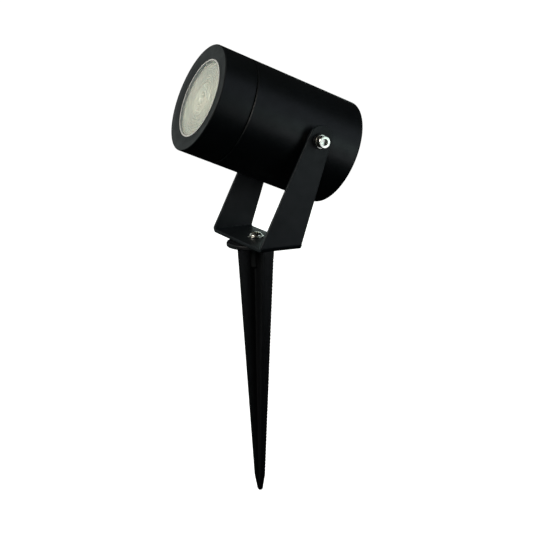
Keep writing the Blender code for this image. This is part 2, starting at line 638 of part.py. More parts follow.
def bezel_and_glass():
    """Bezel ring, front glass, glass gasket and the neck's O-ring."""
    rear = SHOULDER_Z + GAP
    lip_z = HEAD_FRONT - BEZEL_LIP
    edge = EDGE_ROUND
    profile = [(BEZEL_APERTURE, HEAD_FRONT - APERTURE_BEVEL_DEPTH)]
    profile.append((BEZEL_APERTURE + APERTURE_BEVEL, HEAD_FRONT))
    profile += arc((HEAD_RADIUS - edge, HEAD_FRONT - edge), edge, 90.0, 0.0, 3)
    profile += [(HEAD_RADIUS, rear + 0.3 * MM), (HEAD_RADIUS - 0.3 * MM, rear)]
    profile += [(BEZEL_BORE, rear), (BEZEL_BORE, lip_z), (BEZEL_APERTURE, lip_z)]
    turned("front_bezel", profile, BLACK_COATED, steps=FINE_STEPS, parent=beam_axis)
    rod("front_glass", GLASS_RADIUS, GLASS_REAR_Z, GLASS_FRONT_Z, GLASS, edge=GLASS_EDGE, steps=FINE_STEPS,
        parent=beam_axis)
    ring("glass_gasket", GASKET_BORE, GLASS_RADIUS, GASKET_REAR_Z, GASKET_FRONT_Z, SILICONE_WHITE,
         edge=0.3 * MM, steps=MEDIUM_STEPS, parent=beam_axis)
    middle = SHOULDER_Z + ORING_GROOVE_FROM_SHOULDER + ORING_GROOVE_WIDTH / 2.0
    section = arc((ORING_RADIUS, middle), ORING_SECTION, 180.0, -135.0, 7)
    turned("bezel_o_ring", section, BLACK_RUBBER, steps=MEDIUM_STEPS, parent=tilt_axis)


# Lamp ---------------------------------------------------------------------------------------------

def lamp():
    """Shell, optic, LED board, base and two pins, about the lamp's own axis from its rear plane."""
    front = LAMP_LENGTH
    rim_z = front - LAMP_RIM_LENGTH
    neck_z = LAMP_BASE_LENGTH + GAP
    inner = LAMP_RADIUS - LAMP_WALL
    rim_top = front - 0.7 * MM
    ledge_z = rim_top - OPTIC_THICKNESS - GAP
    board_z = rim_z - 6.0 * MM
    board_seat = BOARD_RADIUS - 1.5 * MM
    profile = [(inner, rim_top), (LAMP_RADIUS - 0.3 * MM, rim_top), (LAMP_RADIUS, rim_top - 0.3 * MM)]
    profile += [(LAMP_RADIUS, rim_z), (BOARD_RADIUS + 4.5 * MM, board_z),
                (LAMP_REAR_RADIUS, neck_z + 3.0 * MM)]
    profile += [(LAMP_REAR_RADIUS, neck_z), (LAMP_REAR_RADIUS - 4.0 * MM, neck_z)]
    profile += [(LAMP_REAR_RADIUS - 4.0 * MM, neck_z + 2.0 * MM), (board_seat, board_z - GAP)]
    profile += [(BOARD_RADIUS + GAP, board_z - GAP), (BOARD_RADIUS + GAP, board_z + BOARD_THICKNESS + GAP)]
    profile += [(inner - OPTIC_LEDGE, ledge_z - 2.0 * MM), (inner - OPTIC_LEDGE, ledge_z), (inner, ledge_z)]
    turned("lamp_shell", profile, LAMP_WHITE, steps=MEDIUM_STEPS, parent=lamp_axis)

    low = rim_top - OPTIC_THICKNESS
    dome = [(OPTIC_RADIUS * i / 4.0, front - OPTIC_DOME * (i / 4.0) ** 2) for i in range(5)]
    profile = dome + [(OPTIC_RADIUS, low), (0.0, low)]
    turned("lamp_optic", profile, OPTIC, steps=MEDIUM_STEPS, parent=lamp_axis)
    rod("led_board", BOARD_RADIUS, board_z, board_z + BOARD_THICKNESS, BOARD_WHITE, steps=SMALL_STEPS,
        parent=lamp_axis)

    base = rod("lamp_base", LAMP_BASE_RADIUS, 0.0, LAMP_BASE_LENGTH, LAMP_WHITE, edge=0.5 * MM,
               steps=SMALL_STEPS,
               parent=lamp_axis)
    for side, word in ((1, "left"), (-1, "right")):
        place = {"parent": lamp_axis, "location": (side * PIN_SPACING / 2.0, 0.0, 0.0)}
        socket = rod("pin_socket_" + word, PIN_NECK_RADIUS + FINE_GAP, -OVERRUN, PIN_ROOT + FINE_GAP,
                     steps=TINY_STEPS,
                     cutter=True, **place)
        cut(base, socket)
        profile = [(0.0, PIN_ROOT), (PIN_NECK_RADIUS, PIN_ROOT),
                   (PIN_NECK_RADIUS, PIN_HEAD_LENGTH - PIN_LENGTH)]
        profile += [(PIN_HEAD_RADIUS - 0.2 * MM, PIN_HEAD_LENGTH - PIN_LENGTH)]
        profile += [(PIN_HEAD_RADIUS, PIN_HEAD_LENGTH - PIN_LENGTH - 0.2 * MM)]
        profile += [(PIN_HEAD_RADIUS, 0.4 * MM - PIN_LENGTH), (PIN_HEAD_RADIUS - 0.4 * MM, -PIN_LENGTH)]
        profile.append((0.0, -PIN_LENGTH))
        turned("lamp_pin_" + word, profile, ZINC_STEEL, steps=TINY_STEPS, **place)


# Lamp holder and wiring ---------------------------------------------------------------------------

def kidney(half_width, start, end):
    """A curved slot's outline about the axis, at the pins' radius. Angles in degrees."""
    middle = PIN_SPACING / 2.0
    outer = arc((0.0, 0.0), middle + half_width, start, end, 4)
    inner = arc((0.0, 0.0), middle - half_width, end, start, 4)
    far = Vector((math.cos(math.radians(end)), math.sin(math.radians(end)))) * middle
    near = Vector((math.cos(math.radians(start)), math.sin(math.radians(start)))) * middle
    far_cap = arc(far, half_width, end, end + 180.0, 8)[1:-1]
    near_cap = arc(near, half_width, start + 180.0, start + 360.0, 8)[1:-1]
    return outer + far_cap + inner + near_cap


def lamp_holder():
    """Ceramic body with two keyhole slots, wire holes and screw holes, and its two contacts."""
    made = rod("lamp_holder", HOLDER_RADIUS, HOLDER_REAR_Z, HOLDER_FRONT_Z, CERAMIC, edge=0.8 * MM,
               steps=MEDIUM_STEPS,
               parent=tilt_axis)
    twist = math.degrees(LAMP_TWIST)
    narrow = PIN_NECK_RADIUS + KEYHOLE_CLEARANCE
    wide = PIN_HEAD_RADIUS + KEYHOLE_CLEARANCE
    face_back = HOLDER_FRONT_Z - HOLDER_FACE
    floor = face_back - HOLDER_CAVITY_DEPTH
    above = HOLDER_FRONT_Z + OVERRUN
    for side, word in ((1, "left"), (-1, "right")):
        turn = (0.0, 0.0, 0.0 if side > 0 else math.pi)
        place = {"parent": tilt_axis, "rotation": turn, "cutter": True}
        slot = plate("keyhole_slot_" + word, kidney(narrow, 0.0, twist), face_back - OVERRUN, above, **place)
        cavity = plate("keyhole_cavity_" + word, kidney(wide, 0.0, twist), floor, face_back, **place)
        mouth_angle = LAMP_TWIST + (0.0 if side > 0 else math.pi)
        middle = PIN_SPACING / 2.0
        mouth = rod("keyhole_mouth_" + word, wide, face_back - OVERRUN, above, steps=TINY_STEPS,
                    parent=tilt_axis,
                    location=(middle * math.cos(mouth_angle), middle * math.sin(mouth_angle), 0.0),
                    cutter=True)
        exit_hole = rod("wire_exit_" + word, WIRE_HOLE_RADIUS, HOLDER_REAR_Z - OVERRUN, floor + OVERRUN,
                        steps=TINY_STEPS,
                        parent=tilt_axis, location=(side * middle, 0.0, 0.0), cutter=True)
        screw_hole = rod("holder_screw_hole_" + word, M3_HOLE, HOLDER_REAR_Z - OVERRUN,
                         HOLDER_REAR_Z + M3_LENGTH, steps=TINY_STEPS, parent=tilt_axis,
                         location=(0.0, side * HOLDER_SCREW_Y, 0.0), cutter=True)
        cut(made, cavity, slot, mouth, exit_hole, screw_hole)

        pin_end = LAMP_REAR_Z - PIN_LENGTH
        half = CONTACT_WIDTH / 2.0
        foot_z = pin_end - GAP - CONTACT_THICKNESS
        leaf = [(-1.2 * MM, foot_z), (1.6 * MM, foot_z), (1.6 * MM, foot_z + CONTACT_THICKNESS),
                (-1.7 * MM, foot_z + CONTACT_THICKNESS), (-1.7 * MM, floor + FINE_GAP),
                (0.6 * MM, floor + FINE_GAP),
                (0.6 * MM, floor + FINE_GAP + CONTACT_THICKNESS),
                (-1.2 * MM, floor + FINE_GAP + CONTACT_THICKNESS)]
        plate("holder_contact_" + word, leaf, -half, half, BRASS, parent=tilt_axis,
              location=(side * middle, 0.0, 0.0), rotation=(math.pi / 2.0, 0.0, 0.0))


def holder_bracket():
    """Steel strip across the posts, with a tongue folded forwards for the terminal block."""
    half = STRIP_HALF_WIDTH
    made = block("holder_bracket", (-STRIP_HALF_LENGTH, -half, STRIP_REAR_Z),
                 (STRIP_HALF_LENGTH, half, STRIP_FRONT_Z),
                 ZINC_STEEL, parent=tilt_axis)
    neck = [(TONGUE_HALF_WIDTH, -STRIP_DROP), (TONGUE_HALF_WIDTH, 0.0),
            (4.0 * MM, HOLDER_SCREW_Y + 4.0 * MM)]
    neck += [(-x, y) for x, y in reversed(neck)]
    join(made, plate("bracket_neck", neck, STRIP_REAR_Z, STRIP_FRONT_Z, parent=tilt_axis, cutter=True))
    tongue_low_y = -STRIP_DROP + TONGUE_INSET
    tongue = block("bracket_tongue",
                   (TONGUE_INSET - TONGUE_HALF_WIDTH, tongue_low_y, STRIP_REAR_Z + TONGUE_INSET),
                   (TONGUE_HALF_WIDTH - TONGUE_INSET, tongue_low_y + STRIP_THICKNESS,
                    STRIP_REAR_Z + TONGUE_LENGTH),
                   parent=tilt_axis, cutter=True)
    join(made, tongue)
    low = STRIP_REAR_Z - OVERRUN
    high = STRIP_FRONT_Z + OVERRUN
    holes = [(POST_X, 0.0, M3_HOLE), (-POST_X, 0.0, M3_HOLE), (0.0, HOLDER_SCREW_Y, M3_HOLE),
             (0.0, -HOLDER_SCREW_Y, M3_HOLE), (PIN_SPACING / 2.0, 0.0, 2.6 * MM),
             (-PIN_SPACING / 2.0, 0.0, 2.6 * MM)]
    for number, (x, y, radius) in enumerate(holes):
        cut(made, rod("bracket_hole_%d" % number, radius, low, high, steps=TINY_STEPS, parent=tilt_axis,
                      location=(x, y, 0.0), cutter=True))
    cut(made, rod("tongue_hole", M3_HOLE, -STRIP_DROP - 2.0 * MM, -STRIP_DROP + 4.0 * MM, steps=TINY_STEPS,
                  parent=tilt_axis, location=(TERMINAL_PITCH / 2.0, 0.0, TERMINAL_MIDDLE_Z),
                  rotation=(-math.pi / 2.0, 0.0, 0.0), cutter=True))


def pan_screw(name, length, **place):
    """A small pan-head screw: its head above Z = 0, its shank below."""
    profile = [(0.0, M3_HEAD_HEIGHT), (M3_HEAD_RADIUS - 0.6 * MM, M3_HEAD_HEIGHT),
               (M3_HEAD_RADIUS, 0.8 * MM)]
    profile += [(M3_HEAD_RADIUS, 0.0), (M3_RADIUS, 0.0), (M3_RADIUS, -length), (0.0, -length)]
    made = turned(name, profile, ZINC_STEEL, steps=TINY_STEPS, parent=tilt_axis, **place)
    slot = block(name + "_slot", (-2.0 * M3_HEAD_RADIUS, -0.3 * MM, M3_HEAD_HEIGHT - 0.7 * MM),
                 (2.0 * M3_HEAD_RADIUS, 0.3 * MM, M3_HEAD_HEIGHT + OVERRUN), cutter=True, parent=tilt_axis,
                 **place)
    cut(made, slot)


def inner_screws():
    """The holder bracket's, holder's, terminal block's and earth tag's screws."""
    facing_back = (math.pi, 0.0, 0.0)
    reach = M3_LENGTH - 1.0 * MM
    for side, word in ((1, "left"), (-1, "right")):
        pan_screw("bracket_screw_" + word, reach, location=(side * POST_X, 0.0, STRIP_FRONT_Z + FINE_GAP))
    for side, word in ((1, "upper"), (-1, "lower")):
        pan_screw("holder_screw_" + word, reach, rotation=facing_back,
                  location=(0.0, side * HOLDER_SCREW_Y, STRIP_REAR_Z - FINE_GAP))
    bottom = TERMINAL_TOP_Y - TERMINAL_SIZE[1]
    pan_screw("terminal_screw", TERMINAL_SIZE[1] + STRIP_THICKNESS, rotation=(math.pi / 2.0, 0.0, 0.0),
              location=(TERMINAL_PITCH / 2.0, bottom - FINE_GAP, TERMINAL_MIDDLE_Z))
    tag_top = EARTH_POST_TOP_Z + FINE_GAP + EARTH_TAG_THICKNESS
    pan_screw("earth_screw", 4.0 * MM, location=(*EARTH_POST_XY, tag_top + FINE_GAP))


def way_places():
    """The three ways of the terminal block, and where each lies across it."""
    return ((-TERMINAL_PITCH, "live"), (0.0, "neutral"), (TERMINAL_PITCH, "earth"))


def terminal_block():
    """Three-way block under the bracket's tongue, with a brass clamp in each way."""
    width, height, length = TERMINAL_SIZE
    low_z = STRIP_FRONT_Z + GAP
    made = block("terminal_block", (-width / 2.0, TERMINAL_TOP_Y - height, low_z),
                 (width / 2.0, TERMINAL_TOP_Y, low_z + length), NYLON_WHITE, edge=0.4 * MM, parent=tilt_axis)
    cut(made,
        rod("terminal_screw_hole", M3_HOLE, -2.0 * height, 2.0 * height, steps=TINY_STEPS, parent=tilt_axis,
                  location=(TERMINAL_PITCH / 2.0, TERMINAL_TOP_Y, TERMINAL_MIDDLE_Z),
                  rotation=(math.pi / 2.0, 0.0, 0.0), cutter=True))
    for x, word in way_places():
        place = {"parent": tilt_axis, "location": (x, TERMINAL_WAY_Y, 0.0), "steps": TINY_STEPS}
        cut(made, rod("way_" + word, CLAMP_RADIUS + FINE_GAP, low_z - OVERRUN, low_z + length + OVERRUN,
                      cutter=True, **place))
        ring("terminal_clamp_" + word, CLAMP_BORE, CLAMP_RADIUS, CLAMP_LOW_Z, CLAMP_LOW_Z + CLAMP_LENGTH,
             BRASS,
             **place)


def leads():
    """Live and neutral from the holder's contacts, and earth to its tag, each into a terminal clamp."""
    inside_clamp = CLAMP_LOW_Z + 2.0 * MM
    behind = STRIP_REAR_Z - 4.0 * MM
    start_z = HOLDER_FRONT_Z - HOLDER_FACE - HOLDER_CAVITY_DEPTH - 0.5 * MM
    looks = {"live": SILICONE_BROWN, "neutral": SILICONE_BLUE, "earth": SILICONE_GREEN}
    for x, word in way_places():
        into_clamp = [(x, TERMINAL_WAY_Y, STRIP_FRONT_Z), (x, TERMINAL_WAY_Y, inside_clamp)]
        if word == "earth":
            tail_y = EARTH_POST_XY[1]
            tail_z = EARTH_POST_TOP_Z + FINE_GAP + EARTH_TAG_THICKNESS / 2.0
            turn_x = EARTH_BARREL_X - 3.4 * MM
            route = [(EARTH_BARREL_X - GAP, tail_y, tail_z), (EARTH_BARREL_X - 1.6 * MM, tail_y, tail_z),
                     (turn_x, tail_y - 0.6 * MM, tail_z + 1.6 * MM),
                     (turn_x + 1.2 * MM, TERMINAL_WAY_Y, behind + 1.4 * MM)]
        else:
            side = -1.0 if word == "live" else 1.0
            start_x = side * PIN_SPACING / 2.0
            route = [(start_x, 0.0, start_z), (start_x, 0.0, STRIP_REAR_Z - 0.5 * MM),
                     (start_x, -3.5 * MM, behind + 0.8 * MM), ((start_x + x) / 2.0, -9.5 * MM, behind),
                     (x, -15.0 * MM, behind + 0.4 * MM)]
        wire("lead_" + word, route + into_clamp, LEAD_RADIUS, looks[word], parent=tilt_axis)


def earth_tag():
    """Ring terminal on the earth post, its barrel towards the terminal block."""
    x, y = EARTH_POST_XY
    low = EARTH_POST_TOP_Z + FINE_GAP
    made = rod("earth_tag", EARTH_TAG_RADIUS, low, low + EARTH_TAG_THICKNESS, ZINC_STEEL, parent=tilt_axis,
               location=(x, y, 0.0))
    proud = GAP / 3.0
    barrel = block("earth_tag_barrel", (EARTH_BARREL_X, y - 1.2 * MM, low - proud),
                   (x - EARTH_TAG_RADIUS + 0.8 * MM, y + 1.2 * MM, low + EARTH_TAG_THICKNESS + proud),
                   parent=tilt_axis, cutter=True)
    join(made, barrel)
    cut(made,
        rod("earth_tag_hole", M3_HOLE, low - 1.0 * MM, low + 2.0 * MM, steps=TINY_STEPS, parent=tilt_axis,
                  location=(x, y, 0.0), cutter=True))


# Cable gland --------------------------------------------------------------------------------------

def cable_gland():
    """M12 gland in the rear wall: sealing ring, body, lock nut inside, rubber seal and dome nut outside."""
    place = {"parent": gland_axis}
    flange_low = SEALING_RING + 2.0 * GAP
    flange_high = flange_low + GLAND_FLANGE
    collar_high = flange_high + GLAND_COLLAR_LENGTH
    nut_low = flange_high + GAP
    nut_high = nut_low + GLAND_NUT_LENGTH
    hex_high = nut_low + GLAND_NUT_HEX
    stem_low = -REAR_WALL_THICKNESS - LOCK_NUT_THICKNESS - 2.5 * GAP
    thread_hole = GLAND_THREAD_RADIUS + FINE_GAP
    ring("gland_sealing_ring", thread_hole, GLAND_THREAD_RADIUS + 2.1 * MM, GAP, GAP + SEALING_RING,
         BLACK_RUBBER,
         edge=0.2 * MM, steps=SMALL_STEPS, **place)

    body = plate("gland_body", hexagon(GLAND_HEX_RADIUS), flange_low, flange_high, BLACK_NYLON, **place)
    stem = rod("gland_stem", GLAND_THREAD_RADIUS, stem_low, flange_low + 1.0 * MM, cutter=True,
               steps=SMALL_STEPS, **place)
    collar = rod("gland_collar", GLAND_COLLAR_RADIUS, flange_high - 1.0 * MM, collar_high, cutter=True,
                 steps=SMALL_STEPS,
                 **place)
    join(body, stem, collar)
    bore = rod("gland_bore", GLAND_BORE, stem_low - OVERRUN, collar_high + OVERRUN, cutter=True, **place)
    seat_low = collar_high - SEAL_LENGTH + GAP
    seat = rod("gland_seal_seat", SEAL_RADIUS + FINE_GAP, seat_low, collar_high + OVERRUN, cutter=True,
               **place)
    cut(body, bore, seat)

    seal_low = seat_low + GAP
    ring("gland_seal", SEAL_BORE, SEAL_RADIUS, seal_low, seal_low + SEAL_LENGTH - GAP, BLACK_RUBBER,
         edge=0.5 * MM,
         **place)

    lock = plate("gland_lock_nut", hexagon(GLAND_HEX_RADIUS),
                 -REAR_WALL_THICKNESS - GAP - LOCK_NUT_THICKNESS,
                 -REAR_WALL_THICKNESS - GAP, BLACK_NYLON, **place)
    cut(lock,
        rod("lock_nut_hole", thread_hole, stem_low - OVERRUN, 0.0, cutter=True, steps=SMALL_STEPS, **place))

    nut = plate("gland_dome_nut", hexagon(GLAND_HEX_RADIUS), nut_low, hex_high, BLACK_NYLON, **place)
    shoulder = GLAND_HEX_RADIUS * 0.86
    rise = nut_high - hex_high
    dome_profile = [(0.0, nut_high)]
    for step in range(5):
        angle = math.radians(90.0 * step / 4.0)
        radius = GLAND_NUT_MOUTH + 0.8 * MM + (shoulder - GLAND_NUT_MOUTH - 0.8 * MM) * math.sin(angle)
        dome_profile.append((radius, hex_high + rise * math.cos(angle)))
    dome_profile += [(shoulder, hex_high - 1.0 * MM), (0.0, hex_high - 1.0 * MM)]
    dome = turned("dome_nut_crown", dome_profile, steps=SMALL_STEPS, cutter=True, **place)
    join(nut, dome)
    inside = GLAND_COLLAR_RADIUS + GAP
    hollow_top = collar_high + 2.0 * GAP
    hollow_profile = [(0.0, nut_high + OVERRUN), (GLAND_NUT_MOUTH, nut_high + OVERRUN)]
    hollow_profile += [(GLAND_NUT_MOUTH, nut_high - 1.0 * MM), (inside, hollow_top),
                       (inside, nut_low - OVERRUN)]
    hollow_profile.append((0.0, nut_low - OVERRUN))
    cut(nut, turned("dome_nut_hollow", hollow_profile, steps=SMALL_STEPS, cutter=True, **place))


ground_spike()
spike_fasteners()
yoke()
housing()
pivot_hardware()
bezel_and_glass()
lamp()
lamp_holder()
holder_bracket()
inner_screws()
terminal_block()
leads()
earth_tag()
cable_gland()
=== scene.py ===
"""Finish of a garden spotlight on a ground spike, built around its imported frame.

Lengths are metres. The head's pieces are made in the head's own axes: origin on the tilt axis, Z
forwards along the beam, X along the tilt axis to the lamp's left, Y upwards. The cable gland's axes
are turned to face the rear.
"""

import json
import math

import bmesh
import bpy
from bpy.props import FloatProperty, FloatVectorProperty, IntProperty, PointerProperty
from mathutils import Matrix, Vector


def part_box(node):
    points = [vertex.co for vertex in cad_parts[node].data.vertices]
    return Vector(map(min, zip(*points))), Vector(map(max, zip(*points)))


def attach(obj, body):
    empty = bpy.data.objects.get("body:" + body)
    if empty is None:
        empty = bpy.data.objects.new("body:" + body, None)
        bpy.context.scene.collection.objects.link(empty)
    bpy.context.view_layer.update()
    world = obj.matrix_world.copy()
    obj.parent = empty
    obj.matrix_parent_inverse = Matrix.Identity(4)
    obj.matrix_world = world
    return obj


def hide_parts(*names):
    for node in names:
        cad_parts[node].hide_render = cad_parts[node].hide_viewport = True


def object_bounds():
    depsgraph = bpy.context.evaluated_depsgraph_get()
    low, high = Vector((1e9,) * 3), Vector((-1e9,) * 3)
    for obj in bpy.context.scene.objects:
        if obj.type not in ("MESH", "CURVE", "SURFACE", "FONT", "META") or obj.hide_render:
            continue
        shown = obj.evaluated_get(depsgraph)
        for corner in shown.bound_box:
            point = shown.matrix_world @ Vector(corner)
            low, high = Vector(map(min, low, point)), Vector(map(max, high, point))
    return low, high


bl_info = {
    "name": "Garden spotlight finish",
    "version": (1, 0, 0),
    "blender": (4, 5, 0),
    "location": "View3D > Sidebar > Spotlight",
    "description": "Fine meshes, procedural finishes and a studio for a garden spotlight on a ground spike",
    "category": "Object",
}

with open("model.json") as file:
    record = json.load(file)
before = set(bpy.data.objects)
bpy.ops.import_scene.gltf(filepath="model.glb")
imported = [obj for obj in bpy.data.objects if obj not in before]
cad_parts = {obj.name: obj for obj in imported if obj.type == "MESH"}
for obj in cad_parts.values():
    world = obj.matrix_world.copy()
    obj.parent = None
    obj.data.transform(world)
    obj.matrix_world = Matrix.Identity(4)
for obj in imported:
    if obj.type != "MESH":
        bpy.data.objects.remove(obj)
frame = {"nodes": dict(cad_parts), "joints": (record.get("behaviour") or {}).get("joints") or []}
CAD_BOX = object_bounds()
JOINTS = {joint["name"]: joint for joint in frame["joints"]}

MM = 0.001
GAP = 0.3 * MM                      # between pieces that touch, as in the frame
CHAMFER = 0.3 * MM                  # the broken edge of a turned or moulded piece
ON_AXIS = 1e-7                      # a profile point nearer the axis than this is a tip
OVERRUN = 1.0 * MM                  # how far a cutter passes the face that it opens
SHARP = math.radians(38.0)          # steeper edges stay crisp under smooth shading
FINE_STEPS = 192                    # round the large turned pieces
STEPS = 96
SMALL_STEPS = 48


def linear(text):
    """An sRGB colour such as #A0B1C2 as linear red, green, blue and alpha."""
    values = [int(text[i:i + 2], 16) / 255.0 for i in (1, 3, 5)]
    return (*[v / 12.92 if v <= 0.04045 else ((v + 0.055) / 1.055) ** 2.4 for v in values], 1.0)


def length(name, description, millimetres):
    """A length that a user may change."""
    return FloatProperty(name=name, description=description, default=millimetres * MM, unit="LENGTH")


def colour(name, description, text):
    """A colour that a user may change."""
    return FloatVectorProperty(name=name, description=description, default=linear(text), size=4,
                               subtype="COLOR", min=0.0, max=1.0)


def share(name, description, value):
    """A plain factor from 0 to 1."""
    return FloatProperty(name=name, description=description, default=value, min=0.0, max=1.0,
                         subtype="FACTOR")


# Settings ------------------------------------------------------------------------------------------

class StudioSettings(bpy.types.PropertyGroup):
    """The camera's place about the object, and the light."""

    azimuth: FloatProperty(name="Azimuth", description="Camera's turn round the object, from the front",
                           default=math.radians(66.17), subtype="ANGLE")
    elevation: FloatProperty(name="Elevation", description="Camera's height above the horizon",
                             default=math.radians(12.75), subtype="ANGLE")
    roll: FloatProperty(name="Roll", description="Camera's turn about its own axis",
                        default=math.radians(-0.89), subtype="ANGLE")
    distance: length("Distance", "From the camera to the point that it looks at", 642.4)
    aim_side: length("Aim to the side", "The point that the camera looks at, to the camera's right", 6.04)
    aim_height: length("Aim height", "The point that the camera looks at, above the spike's flange", -11.81)
    lens: FloatProperty(name="Lens", description="Focal length in millimetres on a 36 mm sensor",
                        default=73.35)
    floor: colour("Floor", "Pale seamless floor", "#FDFDFC")
    floor_radius: length("Floor radius", "How far the floor runs, and how high its wall stands", 2600.0)
    cove: length("Cove", "Rounding where the floor turns up into the wall", 900.0)
    glow: FloatProperty(name="Floor glow", description="How evenly white the floor and backdrop are",
                        default=1.0, min=0.0)
    ambient: FloatProperty(name="Ambient", description="Brightness of the room about the lights",
                           default=0.025, min=0.0)


class FinishSettings(bpy.types.PropertyGroup):
    """Colours and grain of the finishes."""

    coat: colour("Powder coat", "Black polyester coat on the aluminium head", "#0B0E10")
    yoke_coat: colour("Yoke coat", "Black coat on the steel yoke", "#101518")
    nylon: colour("Black nylon", "Moulded spike and gland", "#0A0B0D")
    optic: colour("Optic", "Frosted acrylic of the lamp's front", "#C4BCAC")
    orange_peel: length("Orange peel", "Width of the coat's ripples", 0.9)
    coat_grain: length("Coat grain", "Width of the coat's fine powder texture", 0.25)
    moulded_grain: length("Moulded grain", "Width of the spark-eroded mould texture", 0.35)
    coat_roughness: share("Coat roughness", "Satin of the powder coat", 0.40)
    nylon_roughness: share("Nylon roughness", "Satin of the moulded nylon", 0.46)


class HeadSizes(bpy.types.PropertyGroup):
    """Edges, threads and walls of the head that the frame's boxes don't give."""

    seam: length("Seam chamfer", "Bezel's chamfer at the seam", 0.2)
    shoulder_chamfer: length("Shoulder chamfer", "Tube's chamfer at the seam", 0.9)
    edge: length("Front edge", "Rounding of the bezel's outer front edge", 0.65)
    aperture_bevel: length("Aperture bevel", "Width of the shallow bevel round the bezel's opening", 4.5)
    aperture_bevel_depth: length("Aperture bevel depth", "Depth of the bevel round the opening", 0.85)
    rear_edge: length("Rear edge", "Rounding of the tube's rear edge", 1.3)
    wall: length("Wall", "Thickness of the tube's wall", 3.0)
    lip: length("Lip", "Thickness of the bezel's lip over the glass", 1.0)
    gasket_skin: length("Gasket skin", "Thickness of the gasket's front leg", 0.1)
    gasket_shows: length("Gasket shows", "How far the gasket's front leg shows inside the bezel's opening",
                         0.9)
    thread_pitch: length("Thread pitch", "Bezel's travel for each turn", 1.5)
    thread_depth: length("Thread depth", "Depth of the bezel's thread", 0.4)
    neck_radius: length("Neck radius", "Crest of the neck's thread", 28.6)
    neck_bore: length("Neck bore", "Opening of the neck", 26.0)
    groove_radius: length("Groove radius", "Bottom of the O-ring's groove", 27.2)
    groove_width: length("Groove width", "Width of the O-ring's groove", 2.0)
    rear_wall_depth: length("Rear wall depth", "How far the rear wall is set in", 8.8)
    rear_wall: length("Rear wall", "Thickness of the rear wall", 3.0)
    wall_hole: length("Wall hole", "Radius of the gland's hole in the rear wall", 6.2)
    boss_radius: length("Boss radius", "Side bosses round the pivot threads", 6.0)
    boss_flare: length("Boss flare", "Cast fillet at a side boss's foot", 0.8)
    post_x: length("Post place", "Bracket posts from the axis", 19.0)
    post_radius: length("Post radius", "Bracket posts", 3.4)
    post_hole: length("Post hole", "Holes for the small screws", 1.7)
    post_hole_depth: length("Post hole depth", "Depth of the bracket screws' holes", 6.0)
    earth_hole_depth: length("Earth hole depth", "Depth of the earth screw's hole", 5.0)
    pivot_thread: length("Pivot thread", "Radius of the pivot threads", 2.15)


class YokeSizes(bpy.types.PropertyGroup):
    """The bent sheet's own sizes."""

    edge: length("Edge", "Rounding of the punched and coated edge", 0.35)
    bend: length("Bend", "Outer radius of the two bends", 3.0)
    depth: length("Depth", "The base plate, front to rear", 25.1)
    end_radius: length("End radius", "Round end of an arm", 7.0)
    past_pivot: length("End past pivot", "The round end's centre beyond the pivot", 2.0)
    hole: length("Hole", "Radius of the three holes", 2.25)


class SpikeSizes(bpy.types.PropertyGroup):
    """Blades, flange and teeth of the spike."""

    blade: length("Blade", "Thickness of a blade", 2.2)
    reach_top: length("Reach at the top", "A blade's outer edge from the axis, at the flange", 11.5)
    reach_low: length("Reach above the point", "A blade's outer edge from the axis, above the point", 3.3)
    point: length("Point", "Height of the point", 10.8)
    tip: length("Tip radius", "Rounding of the tip", 1.5)
    blade_edge: length("Blade edge", "Rounding of a blade's outer corners", 0.75)
    root: length("Root fillet", "Fillet where two blades meet", 0.7)
    tooth_pitch: length("Tooth pitch", "Spacing of the fine teeth on the rear blade", 2.15)
    teeth_from: length("Teeth from", "How far below the flange the teeth start", 8.0)
    tooth_depth: length("Tooth depth", "Depth of the fine teeth", 0.25)
    flange_edge: length("Flange edge", "Rounding of the flange", 0.8)
    flange: length("Flange rim",
                   "Thickness of the flange at its rim; its underside drops towards the blades", 2.7)
    boss_radius: length("Boss radius", "Screw boss between the blades", 4.4)
    boss_depth: length("Boss depth", "Screw boss below the flange", 11.5)


class FastenerSizes(bpy.types.PropertyGroup):
    """M4 cap screws, the base screw and the washers."""

    thread_pitch: length("Thread pitch", "M4 coarse pitch", 0.7)
    thread_depth: length("Thread depth", "M4 thread", 0.35)
    shank: length("Shank radius", "Crest of the M4 thread", 1.95)
    hole: length("Hole radius", "Clearance hole in a washer", 2.25)
    shank_chamfer: length("Shank chamfer", "Chamfer at a screw's end", 0.4)
    knurls: IntProperty(name="Knurls", description="Ridges round a cap head", default=32, min=6)
    knurl_depth: length("Knurl depth", "Depth of the ridges", 0.12)
    socket: length("Socket", "Hexagon socket of a cap head, to its corners", 1.9)
    base_socket: length("Base socket", "Hexagon socket of the base screw, to its corners", 2.1)
    split: FloatProperty(name="Split", description="Opening of the spring washer, as an angle",
                         default=math.radians(14.0), subtype="ANGLE")


class LampSizes(bpy.types.PropertyGroup):
    """The lamp's optic and shell."""

    wall: length("Shell wall", "Thickness of the shell at its rim", 1.0)
    rim: length("Rim", "Height of the shell's straight rim", 7.3)
    waist: length("Waist", "Radius of the shell's narrow end", 12.5)
    flutes: IntProperty(name="Flutes", description="Cooling flutes round the shell", default=24, min=6)
    flute_depth: length("Flute depth", "Depth of those flutes", 0.35)
    chips: IntProperty(name="LED chips", description="LED packages in their ring", default=6, min=1)
    chip_ring: length("Chip ring", "Radius of the ring of LED packages", 7.0)
    inner_ring: length("Inner ring", "Radius of the groove round the optic's middle", 10.5)
    groove_width: length("Groove width", "Half width of that groove", 0.5)
    groove_depth: length("Groove depth", "Depth of that groove", 0.5)
    crater: length("Crater", "Radius of the hollow over the LED chips", 4.5)
    crater_depth: length("Crater depth", "Depth of that hollow", 2.2)
    ring_pitch: length("Ring pitch", "Spacing of the moulded light-spreading rings", 1.7)
    ring_depth: length("Ring depth", "Depth of those rings", 0.32)


